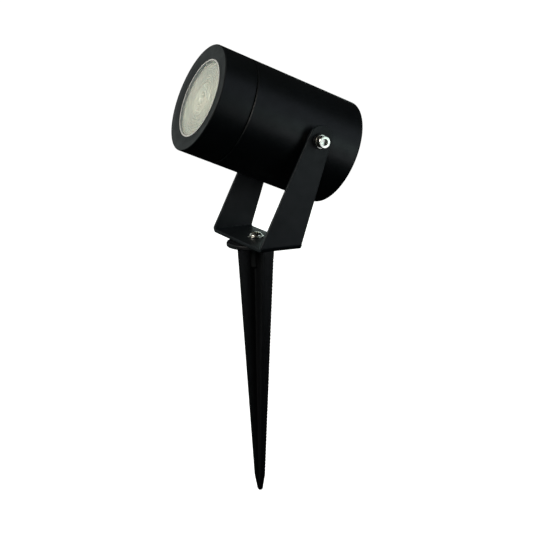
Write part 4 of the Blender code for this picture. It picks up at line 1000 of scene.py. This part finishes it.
class SPOTLIGHT_OT_yoke(bpy.types.Operator):
    """Yoke: a punched sheet blank with rounded edges, folded at two bends"""

    bl_idname = "spotlight.yoke"
    bl_label = "Yoke"

    def execute(self, context):
        """Cuts the flat blank, adds fold lines, and folds it."""
        sizes = context.scene.spotlight.yoke
        low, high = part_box("yoke")
        pivot = HEAD.translation
        sheet = self.thickness()
        blank = self.blank(sizes, high.x, low.z, pivot, sheet)
        self.fold(blank, sizes, high.x, low.z, sheet)
        piece("yoke_folded", blank, finished(powder_coated_steel), "bracket", ["yoke"])
        return {"FINISHED"}

    def thickness(self):
        """The sheet's thickness: from the gap's inner side to the outer face, as the pivot washers say."""
        inner = extent("pivot_spacer_left", HEAD)[1].x + GAP
        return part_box("yoke")[1].x - inner

    def flat_length(self, sizes, half_width, sheet):
        """Flat half length of the plate, and of the plate and one bend, along the neutral line."""
        plate = half_width - sizes.bend
        return plate, plate + math.pi / 2.0 * (sizes.bend - sheet / 2.0)

    def outline(self, sizes, half_width, base_z, pivot, sheet):
        """The blank's outline, anticlockwise: plate, arm to +X with its round end, and its mirror."""
        bent = self.flat_length(sizes, half_width, sheet)[1]
        hub = Vector((pivot.y, pivot.z - base_z))
        centre = hub + hub.normalized() * sizes.past_pivot
        arm = []
        for sign in (1.0, -1.0):
            corner = Vector((sign * sizes.depth / 2.0, sizes.bend))
            away = corner - centre
            spread = math.acos(sizes.end_radius / away.length)
            arm.append(math.atan2(away.y, away.x) + sign * spread)
        start, end = arm[1] + 2.0 * math.pi, arm[0]
        side = []
        for k in range(SMALL_STEPS + 1):
            angle = start + (end - start) * k / SMALL_STEPS
            side.append((centre.x + sizes.end_radius * math.cos(angle),
                         centre.y + sizes.end_radius * math.sin(angle)))
        half = [(bent + z - sizes.bend, y) for y, z in side]
        front = (bent, -sizes.depth / 2.0)
        rear = (bent, sizes.depth / 2.0)
        right = [front] + half + [rear]
        left = [(-x, y) for x, y in reversed(right)]
        return right + left

    def blank(self, sizes, half_width, base_z, pivot, sheet):
        """The flat blank with its three holes, edges rounded on both faces."""
        bent = self.flat_length(sizes, half_width, sheet)[1]
        hub_x = bent + pivot.z - base_z - sizes.bend
        loops = [self.outline(sizes, half_width, base_z, pivot, sheet)]
        for x, y in ((0.0, 0.0), (hub_x, pivot.y), (-hub_x, pivot.y)):
            loops.append([(x + sizes.hole * math.cos(-a), y + sizes.hole * math.sin(-a))
                          for a in (2.0 * math.pi * k / SMALL_STEPS for k in range(SMALL_STEPS))])
        solid = bmesh.new()
        top_edges, bottom_edges = [], []
        for loop in loops:
            rings = self.edge_rings(solid, loop, sizes.edge, sheet)
            for first, second in zip(rings, rings[1:]):
                band(solid, first, second)
            for ring, edges in ((rings[0], top_edges), (rings[-1], bottom_edges)):
                for first, second in zip(ring, ring[1:] + ring[:1]):
                    edges.append(solid.edges.get((first, second)))
        bmesh.ops.triangle_fill(solid, use_beauty=True, use_dissolve=False, edges=top_edges)
        bmesh.ops.triangle_fill(solid, use_beauty=True, use_dissolve=False, edges=bottom_edges)
        return solid

    def edge_rings(self, solid, loop, edge, sheet):
        """Rings from the upper face, round the edge, to the lower face; material is on the loop's left."""
        normals = []
        for i in range(len(loop)):
            along = Vector(loop[(i + 1) % len(loop)]) - Vector(loop[i - 1])
            normals.append(Vector((-along.y, along.x)).normalized())
        rings = []
        half = sheet / 2.0
        for sign in (1.0, -1.0):
            turns = range(4) if sign > 0.0 else range(3, -1, -1)
            for k in turns:
                angle = math.pi / 2.0 * k / 3.0
                inset = edge * (1.0 - math.sin(angle))
                height = sign * (half - edge * (1.0 - math.cos(angle)))
                rings.append([solid.verts.new((x + n.x * inset, y + n.y * inset, height))
                              for (x, y), n in zip(loop, normals)])
        return rings

    def fold(self, solid, sizes, half_width, base_z, sheet):
        """Adds fold lines across the bends and lays every point on the folded sheet."""
        plate, bent = self.flat_length(sizes, half_width, sheet)
        folds = 16
        for side in (-1.0, 1.0):
            for k in range(folds + 1):
                x = side * (plate + (bent - plate) * k / folds)
                bmesh.ops.bisect_plane(solid, geom=solid.verts[:] + solid.edges[:] + solid.faces[:],
                                       dist=1e-7, plane_co=(x, 0.0, 0.0), plane_no=(1.0, 0.0, 0.0))
        neutral = sizes.bend - sheet / 2.0
        for vertex in solid.verts:
            along, y, out = vertex.co
            side = math.copysign(1.0, along)
            far = abs(along)
            if far <= plate:
                vertex.co = (along, y, base_z + sheet / 2.0 - out)
            elif far <= bent:
                angle = (far - plate) / neutral
                radius = neutral + out
                vertex.co = (side * (plate + radius * math.sin(angle)), y,
                             base_z + sizes.bend - radius * math.cos(angle))
            else:
                vertex.co = (side * (plate + neutral + out), y, base_z + sizes.bend + far - bent)


class SPOTLIGHT_OT_housing(bpy.types.Operator):
    """Housing: tube, set-in rear wall, threaded neck, side bosses and bracket posts"""

    bl_idname = "spotlight.housing"
    bl_label = "Housing"

    def execute(self, context):
        """The turned casting, then bosses and posts joined and their holes cut."""
        sizes = context.scene.spotlight.head
        low, high = extent("housing", HEAD)
        radius = (high.y - low.y) / 2.0
        bore = radius - sizes.wall
        shoulder = extent("front_bezel", HEAD)[0].z - GAP
        wall_out = low.z + sizes.rear_wall_depth
        wall_in = wall_out + sizes.rear_wall
        solid = self.casting(sizes, radius, bore, low.z, shoulder, high.z)
        steps = []
        root = wall_in - 1.0 * MM
        post_top = extent("holder_bracket", HEAD)[0].z - GAP
        earth = (extent("earth_screw", HEAD)[0] + extent("earth_screw", HEAD)[1]) / 2.0
        earth_top = extent("earth_tag", HEAD)[0].z - 0.1 * MM
        # The boss outside, the one inside and the wall overlap, so that they join as one.
        for side in (1.0, -1.0):
            boss = rod(sizes.boss_radius, bore + 2.2 * MM, high.x, foot=sizes.boss_flare)
            inner = rod(sizes.boss_radius - 1.0 * MM, bore - 2.5 * MM, bore + 1.7 * MM)
            post = moved(rod(sizes.post_radius, root, post_top), Matrix.Translation((side * sizes.post_x,
                                                                                     0.0, 0.0)))
            steps += [("UNION", moved(boss, along_x(side))), ("UNION", moved(inner, along_x(side))),
                      ("UNION", post)]
        steps.append(("UNION", moved(rod(sizes.post_radius - 0.4 * MM, root, earth_top),
                                     Matrix.Translation((earth.x, earth.y, 0.0)))))
        for side in (1.0, -1.0):
            pivot = rod(sizes.pivot_thread, bore - 4.0 * MM, high.x + OVERRUN)
            hole = moved(rod(sizes.post_hole, post_top - sizes.post_hole_depth, post_top + OVERRUN),
                         Matrix.Translation((side * sizes.post_x, 0.0, 0.0)))
            steps += [("DIFFERENCE", moved(pivot, along_x(side))), ("DIFFERENCE", hole)]
        steps.append(("DIFFERENCE", moved(rod(sizes.post_hole, earth_top - sizes.earth_hole_depth,
                                              earth_top + OVERRUN),
                                          Matrix.Translation((earth.x, earth.y, 0.0)))))
        piece("housing_cast", moved(carved(solid, *steps), HEAD), finished(powder_coated_aluminium), "head",
              ["housing"])
        return {"FINISHED"}

    def casting(self, sizes, radius, bore, rear, shoulder, front):
        """The turned body: neck with its O-ring groove and thread, tube, rear rim and set-in wall."""
        wall_out = rear + sizes.rear_wall_depth
        wall_in = wall_out + sizes.rear_wall
        groove_low = shoulder + 1.2 * MM
        groove_high = groove_low + sizes.groove_width
        thread_low, thread_high = groove_high + 0.3 * MM, front - 0.6 * MM
        profile = rounded([(sizes.neck_bore, front, CHAMFER), (sizes.neck_radius, front, 0.5 * MM),
                           (sizes.neck_radius, thread_high)])[1:]
        profile = [(sizes.neck_bore, front - CHAMFER), (sizes.neck_bore + CHAMFER, front)] + profile
        profile += thread_stretch(sizes.neck_radius, thread_high, thread_low, sizes.thread_pitch)
        profile += [(sizes.neck_radius, groove_high), (sizes.groove_radius, groove_high)]
        profile += [(sizes.groove_radius, groove_low), (sizes.neck_radius, groove_low)]
        profile += rounded([(sizes.neck_radius, shoulder + 0.1 * MM), (sizes.neck_radius, shoulder),
                            (radius - sizes.shoulder_chamfer, shoulder),
                            (radius, shoulder - sizes.shoulder_chamfer), (radius, rear, sizes.rear_edge),
                            (bore, rear, 0.5 * MM), (bore, wall_out, 1.6 * MM),
                            (sizes.wall_hole, wall_out, 0.4 * MM), (sizes.wall_hole, wall_in),
                            (bore, wall_in, 1.0 * MM), (bore, shoulder - 4.0 * MM),
                            (sizes.neck_bore, shoulder - 4.0 * MM)], segments=5)[1:]
        rule = thread(sizes.neck_radius, sizes.thread_pitch, sizes.thread_depth, thread_low, thread_high)
        return turned(profile, FINE_STEPS, rule)


class SPOTLIGHT_OT_bezel(bpy.types.Operator):
    """Screw-on bezel with its inner thread"""

    bl_idname = "spotlight.bezel"
    bl_label = "Bezel"

    def execute(self, context):
        """A turned ring: flat front face, slim rounded edges, thread inside."""
        sizes = context.scene.spotlight.head
        low, high = extent("front_bezel", HEAD)
        aperture = reach("front_bezel", HEAD)[0]
        radius = (high.y - low.y) / 2.0
        bore = sizes.neck_radius + GAP
        lip = high.z - sizes.lip
        thread_low, thread_high = low.z + 3.5 * MM, lip - 5.5 * MM
        profile = rounded([(aperture, lip), (aperture, high.z - sizes.aperture_bevel_depth, 0.12 * MM),
                           (aperture + sizes.aperture_bevel, high.z, 12.0 * MM),
                           (radius, high.z, sizes.edge), (radius, low.z + sizes.seam),
                           (radius - sizes.seam, low.z), (bore + CHAMFER, low.z), (bore, low.z + CHAMFER)])
        profile += reversed(thread_stretch(bore, thread_high, thread_low, sizes.thread_pitch))
        profile.append((bore, lip))
        rule = thread(bore, sizes.thread_pitch, sizes.thread_depth, thread_low, thread_high, inward=False)
        piece("bezel_turned", moved(turned(profile, FINE_STEPS, rule), HEAD),
              finished(powder_coated_aluminium), "bezel", ["front_bezel"])
        return {"FINISHED"}


class SPOTLIGHT_OT_glass(bpy.types.Operator):
    """Front glass with ground edges, in its channel gasket"""

    bl_idname = "spotlight.glass"
    bl_label = "Front glass"

    def execute(self, context):
        """A disc with a fine arris on both faces, and the gasket that wraps its edge."""
        settings = context.scene.spotlight
        self.gasket(settings.head)
        low, high = extent("front_glass", HEAD)
        radius = reach("front_glass", HEAD)[1]
        arris = 0.4 * MM
        profile = [(0.0, high.z), (radius - arris, high.z), (radius, high.z - arris),
                   (radius, low.z + arris), (radius - arris, low.z), (0.0, low.z)]
        piece("glass_disc", turned(profile, FINE_STEPS), finished(toughened_glass), "glass_carrier",
              ["front_glass"], HEAD)
        return {"FINISHED"}

    def gasket(self, sizes):
        """A channel: a thick rear leg, and a thin front leg whose edge shows inside the bezel's opening."""
        low, high = extent("glass_gasket", HEAD)
        bore = reach("glass_gasket", HEAD)[0]
        glass = reach("front_glass", HEAD)[1] + sizes.gasket_skin
        front = extent("front_glass", HEAD)[1].z + sizes.gasket_skin / 2.0
        outer = glass + 2.0 * sizes.gasket_skin
        lip = reach("front_bezel", HEAD)[0] - sizes.gasket_shows
        profile = [(lip, front + sizes.gasket_skin), (outer, front + sizes.gasket_skin), (outer, low.z),
                   (bore, low.z), (bore, high.z), (glass, high.z), (glass, front), (lip, front)]
        piece("gasket_channel", turned(profile, FINE_STEPS), finished(silicone_white), "glass_carrier",
              ["glass_gasket"], HEAD)


class SPOTLIGHT_OT_lamp(bpy.types.Operator):
    """Lamp: shell with a bright rim, moulded optic and LED chips"""

    bl_idname = "spotlight.lamp"
    bl_label = "Lamp"

    def execute(self, context):
        """Optic with rings and a dished middle, shell, and the chips on the board."""
        sizes = context.scene.spotlight.lamp
        self.optic(sizes)
        self.shell(sizes)
        self.chips(sizes)
        return {"FINISHED"}

    def optic(self, sizes):
        """Fine rings all over, a groove round the middle, and a hollow over the LED chips."""
        low, high = extent("lamp_optic", HEAD)
        radius = reach("lamp_optic", HEAD)[1]
        front = high.z - 0.05 * MM

        def height(out):
            """The optic's front face at this radius."""
            dome = 0.45 * MM * (out / radius) ** 2
            rings = sizes.ring_depth * ridges(2.0 * math.pi / sizes.ring_pitch, out)
            groove = sizes.groove_depth * max(0.0, 1.0 - abs(out - sizes.inner_ring) / sizes.groove_width)
            crater = sizes.crater_depth * ridges(math.pi, min(1.0, out / sizes.crater))
            return front - dome - rings - groove - crater
        count = 160
        profile = [(radius * i / count, height(radius * i / count)) for i in range(count)]
        profile += [(radius, front - 0.7 * MM), (radius, low.z), (0.0, low.z)]
        piece("optic_moulded", turned(profile, FINE_STEPS), finished(moulded_acrylic), "lamp",
              ["lamp_optic"], HEAD)

    def shell(self, sizes):
        """A white cup with a rounded bright rim and cooling ribs down its cone."""
        low, high = extent("lamp_shell", HEAD)
        radius = reach("lamp_shell", HEAD)[1]
        optic_low = extent("lamp_optic", HEAD)[0].z
        board_low, board_high = (point.z for point in extent("led_board", HEAD))
        board = reach("led_board", HEAD)[1]
        rim = high.z - sizes.rim
        inner = radius - sizes.wall
        neck = reach("lamp_shell", HEAD)[0]
        ledge = optic_low - GAP
        profile = rounded([(inner, high.z - CHAMFER), (inner + CHAMFER, high.z, 0.15 * MM),
                           (radius, high.z, 0.35 * MM), (radius, rim, 1.2 * MM),
                           (board + 4.5 * MM, board_low, 3.0 * MM),
                           (sizes.waist, low.z + 3.0 * MM, 1.0 * MM), (sizes.waist, low.z, CHAMFER),
                           (neck, low.z), (neck, low.z + 2.0 * MM), (board - 1.5 * MM, board_low - GAP),
                           (board + GAP, board_low - GAP), (board + GAP, board_high + GAP),
                           (inner - 1.2 * MM, ledge - 2.0 * MM), (inner - 1.2 * MM, ledge), (inner, ledge)])
        fine = []
        for first, second in zip(profile, profile[1:] + profile[:1]):
            count = max(1, round((Vector(second) - Vector(first)).length / (1.5 * MM)))
            fine += between(first, second, count)[:-1]

        def ribs(angle, out, height):
            """Shallow flutes round the cone, between the rim and the neck."""
            inside = out < 0.82 * (sizes.waist + (radius - sizes.waist) * (height - low.z) / (rim - low.z))
            if inside or not low.z + 4.0 * MM < height < rim - 1.0 * MM:
                return out
            fade = min(1.0, (height - low.z - 4.0 * MM) / (3.0 * MM),
                       (rim - 1.0 * MM - height) / (3.0 * MM))
            return out - sizes.flute_depth * fade * ridges(sizes.flutes, angle)
        piece("lamp_cup", turned(fine, FINE_STEPS, ribs), finished(moulded_white_polyester), "lamp",
              ["lamp_shell"], HEAD)

    def chips(self, sizes):
        """LED packages in a ring on the board."""
        board = extent("led_board", HEAD)[1].z
        middle = Vector((0.0, 0.0, board + 0.4 * MM))
        chips = bmesh.new()
        for k in range(sizes.chips):
            angle = 2.0 * math.pi * k / sizes.chips
            spot = middle + Vector((math.cos(angle), math.sin(angle), 0.0)) * sizes.chip_ring
            turn = Matrix.Translation(spot) @ Matrix.Rotation(angle, 4, "Z")
            place = turn @ Matrix.Diagonal((2.8 * MM, 3.5 * MM, 0.7 * MM, 1.0))
            made = bmesh.ops.create_cube(chips, size=1.0, matrix=place)
            edges = list({edge for vert in made["verts"] for edge in vert.link_edges})
            bmesh.ops.bevel(chips, geom=edges, offset=0.15 * MM, segments=2, affect="EDGES")
        piece("led_chips", chips, finished(phosphor), "lamp", [], HEAD)


class SPOTLIGHT_OT_pivot_fasteners(bpy.types.Operator):
    """Cap screws, spring washers, flat washers and spacers on both sides"""

    bl_idname = "spotlight.pivot_fasteners"
    bl_label = "Pivot fasteners"

    def execute(self, context):
        """The same stack on each side, outwards along the tilt axis."""
        settings = context.scene.spotlight
        for side, word in ((1.0, "left"), (-1.0, "right")):
            place = HEAD @ along_x(side)
            self.cap_screw(settings.fasteners, place, word)
            self.spring_washer(settings.fasteners, place, word)
            # The flat washers are black nylon, which puts a dark ring round each cap head.
            for kind, look, slot, edge in (("flat_washer", moulded_black_nylon, "gland_nylon", 0.12),
                                           ("spacer", moulded_natural_nylon, "natural_nylon", 0.2)):
                self.disc(settings.fasteners, place, word, kind, finished(look), slot, edge * MM)
        return {"FINISHED"}

    def disc(self, sizes, place, word, kind, look, slot, edge):
        """A flat ring with rounded edges."""
        node = "pivot_%s_%s" % (kind, word)
        low, high = extent(node, place)
        outer = reach(node, place)[1]
        solid = ring(sizes.hole, outer, low.z, high.z, edge, edge)
        piece("%s_%s" % (kind, word), solid, look, "head", [node], place)

    def cap_screw(self, sizes, place, word):
        """Knurled head with a hexagon socket, and a threaded shank."""
        node = "pivot_screw_" + word
        low, high = extent(node, place)
        outer = reach(node, place)[1]
        under = extent("pivot_spring_washer_" + word, place)[1].z + 0.2 * MM
        knurl_high, knurl_low = high.z - 0.55 * MM, under + 0.3 * MM
        profile = rounded([(0.0, high.z), (outer - 0.35 * MM, high.z, 0.2 * MM),
                           (outer, high.z - 0.4 * MM, 0.2 * MM), (outer, knurl_high)])
        profile += between((outer, knurl_high), (outer, knurl_low), 6)[1:]
        shank, helix = threaded_shank(sizes, under, low.z, 0.3 * MM)
        profile += [(outer - 0.15 * MM, under), (sizes.shank, under)] + shank

        def rule(angle, radius, height):
            """Ridges on the head, the helix on the shank."""
            if knurl_low - ON_AXIS <= height <= knurl_high + ON_AXIS and radius > outer - ON_AXIS:
                return radius - sizes.knurl_depth * ridges(sizes.knurls, angle)
            return helix(angle, radius, height)
        socket = hexagon_socket(sizes.socket, high.z, 2.0 * MM, 0.5 * MM)
        rim = turned([(0.0, high.z + OVERRUN), (sizes.socket + OVERRUN, high.z + OVERRUN),
                      (sizes.socket - 0.25 * MM, high.z - 0.25 * MM), (0.0, high.z - 0.25 * MM)],
                     SMALL_STEPS)
        solid = carved(turned(profile, 4 * sizes.knurls, rule), ("DIFFERENCE", socket), ("DIFFERENCE", rim))
        piece("cap_screw_" + word, solid, finished(turned_stainless_steel), "head", [node],
              place)

    def spring_washer(self, sizes, place, word):
        """One turn of square wire, its ends a little apart along the axis."""
        node = "pivot_spring_washer_" + word
        low, high = extent(node, place)
        outer = reach(node, place)[1]
        rise = 0.12 * MM
        thick = high.z - low.z - rise
        edge = 0.12 * MM
        wire = rounded([(sizes.hole, low.z, edge), (outer, low.z, edge), (outer, low.z + thick, edge),
                        (sizes.hole, low.z + thick, edge)], closed=True, segments=2)
        sections = []
        for k in range(SMALL_STEPS + 1):
            turn = k / SMALL_STEPS
            angle = sizes.split / 2.0 + (2.0 * math.pi - sizes.split) * turn
            sections.append([(radius * math.cos(angle), radius * math.sin(angle), height + rise * turn)
                             for radius, height in wire])
        piece("spring_washer_" + word, lofted(sections), finished(turned_stainless_steel), "head",
              [node], place)


class SPOTLIGHT_OT_gland(bpy.types.Operator):
    """Cable gland in the rear wall: body, nuts, seal and sealing ring"""

    bl_idname = "spotlight.gland"
    bl_label = "Cable gland"

    def execute(self, context):
        """Every piece in the gland's axes, Z out of the rear wall."""
        sizes = context.scene.spotlight.gland
        wall = extent("gland_sealing_ring", HEAD)[1].z + GAP
        place = HEAD @ Matrix.Translation((0.0, 0.0, wall)) @ Matrix.Rotation(math.pi, 4, "X")
        nylon = finished(moulded_black_nylon)
        self.body(sizes, place, nylon)
        self.lock_nut(sizes, place, nylon)
        self.dome_nut(sizes, place, nylon)
        self.seal(place)
        low, high = extent("gland_sealing_ring", place)
        inner, outer = reach("gland_sealing_ring", place)
        solid = ring(inner, outer, low.z, high.z, 0.3 * MM, 0.0)
        piece("sealing_ring", solid, finished(pressed_rubber), "head",
              ["gland_sealing_ring"], place)
        return {"FINISHED"}

    def body(self, sizes, place, look):
        """Chamfered hexagon between the wall's thread and the nut's."""
        low, high = extent("gland_body", place)
        stem = reach("gland_lock_nut", place)[0] - 0.2 * MM
        flange_low = extent("gland_sealing_ring", place)[1].z + GAP
        flange_high = extent("gland_dome_nut", place)[0].z - GAP
        collar = 6.1 * MM
        seat = reach("gland_seal", place)[1] + 0.2 * MM
        seat_low = extent("gland_seal", place)[0].z - GAP
        corner = sizes.corner
        profile = [(sizes.bore, low.z), (stem - 0.4 * MM, low.z)]
        profile += reversed(thread_stretch(stem, flange_low - 0.3 * MM, low.z + sizes.thread_end,
                                           sizes.thread_pitch))
        profile += [(stem, flange_low), (corner - sizes.chamfer, flange_low),
                    (corner, flange_low + sizes.chamfer_height)]
        profile += [(corner, flange_high - sizes.chamfer_height), (corner - sizes.chamfer, flange_high),
                    (collar, flange_high)]
        profile += reversed(thread_stretch(collar, high.z - 0.5 * MM, flange_high + sizes.thread_end,
                                           sizes.thread_pitch))
        profile += [(collar - 0.4 * MM, high.z), (seat, high.z), (seat, seat_low), (sizes.bore, seat_low)]
        hexagon = hexagonal(corner)
        first = thread(stem, sizes.thread_pitch, sizes.thread_depth, low.z + sizes.thread_end,
                       flange_low - 0.3 * MM)
        second = thread(collar, sizes.thread_pitch, sizes.thread_depth, flange_high + sizes.thread_end,
                        high.z - 0.5 * MM)

        def rule(angle, radius, height):
            """Threads on the stem and collar, flats on the flange."""
            return hexagon(angle, second(angle, first(angle, radius, height), height), height)
        piece("gland_body_moulded", turned(profile, STEPS, rule), look, "head",
              ["gland_body"], place)

    def lock_nut(self, sizes, place, look):
        """Inside the rear wall."""
        low, high = extent("gland_lock_nut", place)
        hole = reach("gland_lock_nut", place)[0]
        corner = sizes.corner
        profile = [(hole, low.z), (corner - sizes.chamfer, low.z), (corner, low.z + sizes.chamfer_height),
                   (corner, high.z - sizes.chamfer_height), (corner - sizes.chamfer, high.z),
                   (hole, high.z)]
        piece("lock_nut_moulded", turned(profile, STEPS, hexagonal(corner)), look, "head",
              ["gland_lock_nut"], place)

    def dome_nut(self, sizes, place, look):
        """Hexagon for the spanner, then a ribbed dome with a round mouth."""
        low, high = extent("gland_dome_nut", place)
        corner = sizes.corner
        hex_high = low.z + sizes.hex_height
        shoulder = 0.86 * corner
        inside = 6.4 * MM
        seal_top = extent("gland_seal", place)[1].z + 0.5 * MM
        profile = [(inside, low.z), (corner - sizes.chamfer, low.z), (corner, low.z + sizes.chamfer_height),
                   (corner, hex_high - sizes.chamfer_height), (corner - 0.8 * MM, hex_high),
                   (shoulder, hex_high)]
        crown = sizes.mouth + 0.8 * MM
        for k in range(1, 13):
            angle = math.radians(7.5 * k)
            profile.append((crown + (shoulder - crown) * math.cos(angle),
                            hex_high + (high.z - hex_high) * math.sin(angle)))
        profile += [(sizes.mouth + CHAMFER, high.z), (sizes.mouth, high.z - CHAMFER),
                    (sizes.mouth, high.z - OVERRUN), (inside, seal_top)]
        hexagon = hexagonal(corner)

        def rule(angle, radius, height):
            """Flats below, shallow grip ribs on the dome."""
            if height > hex_high + 0.2 * MM and radius > crown:
                fade = min(1.0, (high.z - height) / (1.0 * MM))
                return radius - 0.18 * MM * fade * ridges(24.0, angle)
            return hexagon(angle, radius, height)
        piece("dome_nut_moulded", turned(profile, 2 * STEPS, rule), look, "head",
              ["gland_dome_nut"], place)

    def seal(self, place):
        """Rubber bush with a rounded mouth for the cable."""
        low, high = extent("gland_seal", place)
        inner, outer = reach("gland_seal", place)
        solid = turned(rounded([(inner, high.z, 0.5 * MM), (outer, high.z, 0.5 * MM),
                                (outer, low.z, 0.3 * MM), (inner, low.z, 0.4 * MM)], closed=True))
        piece("gland_bush", solid, finished(pressed_rubber), "head", ["gland_seal"], place)


class SPOTLIGHT_OT_inner_parts(bpy.types.Operator):
    """Finishes of the pieces that keep their frame shape, inside the head"""

    bl_idname = "spotlight.inner_parts"
    bl_label = "Inner parts"

    def execute(self, context):
        """Each node's own finish, and smooth shading with crisp edges."""
        looks = {
            pressed_rubber: ("bezel_o_ring",),
            fired_steatite: ("lamp_holder",),
            drawn_brass: ("holder_contact_left", "holder_contact_right", "terminal_clamp_live",
                          "terminal_clamp_neutral", "terminal_clamp_earth"),
            zinc_plated_steel: ("holder_bracket", "bracket_screw_left", "bracket_screw_right",
                                "holder_screw_upper", "holder_screw_lower", "terminal_screw", "earth_screw",
                                "earth_tag", "lamp_pin_left", "lamp_pin_right"),
            moulded_natural_nylon: ("terminal_block",),
            moulded_white_polyester: ("lamp_base",),
            coated_board: ("led_board",),
            silicone_brown: ("lead_live",),
            silicone_blue: ("lead_neutral",),
            silicone_green: ("lead_earth",),
        }
        for maker, nodes in looks.items():
            for node in nodes:
                shape = frame["nodes"][node]
                shape.data.materials.clear()
                shape.data.materials.append(finished(maker))
                shape.data.shade_smooth()
                shape.data.set_sharp_from_angle(angle=SHARP)
        return {"FINISHED"}


class SPOTLIGHT_PT_build(bpy.types.Panel):
    """Build steps and settings"""

    bl_label = "Garden spotlight"
    bl_space_type = "VIEW_3D"
    bl_region_type = "UI"
    bl_category = "Spotlight"

    def draw(self, context):
        """One button for each step, then the settings by group."""
        for step in OPERATORS:
            self.layout.operator(step.bl_idname)
        settings = context.scene.spotlight
        for group in settings.bl_rna.properties.keys():
            values = getattr(settings, group)
            if isinstance(values, bpy.types.PropertyGroup):
                box = self.layout.box()
                box.label(text=group.replace("_", " ").capitalize())
                for name in values.__annotations__:
                    box.prop(values, name)


OPERATORS = (SPOTLIGHT_OT_stage, SPOTLIGHT_OT_spike, SPOTLIGHT_OT_base_fasteners, SPOTLIGHT_OT_yoke,
             SPOTLIGHT_OT_housing, SPOTLIGHT_OT_bezel, SPOTLIGHT_OT_glass, SPOTLIGHT_OT_lamp,
             SPOTLIGHT_OT_pivot_fasteners, SPOTLIGHT_OT_gland, SPOTLIGHT_OT_inner_parts)
GROUPS = (StudioSettings, FinishSettings, HeadSizes, YokeSizes, SpikeSizes, FastenerSizes, LampSizes,
          GlandSizes, SpotlightSettings)
CLASSES = GROUPS + OPERATORS + (SPOTLIGHT_PT_build,)


def register():
    """Adds the settings, steps and panel."""
    for kind in CLASSES:
        bpy.utils.register_class(kind)
    bpy.types.Scene.spotlight = PointerProperty(type=SpotlightSettings)


def unregister():
    """Takes them away again."""
    del bpy.types.Scene.spotlight
    for kind in reversed(CLASSES):
        bpy.utils.unregister_class(kind)


def main():
    """Builds everything in order."""
    register()
    for step in OPERATORS:
        group, name = step.bl_idname.split(".")
        getattr(getattr(bpy.ops, group), name)()


if __name__ == "__main__":
    main()
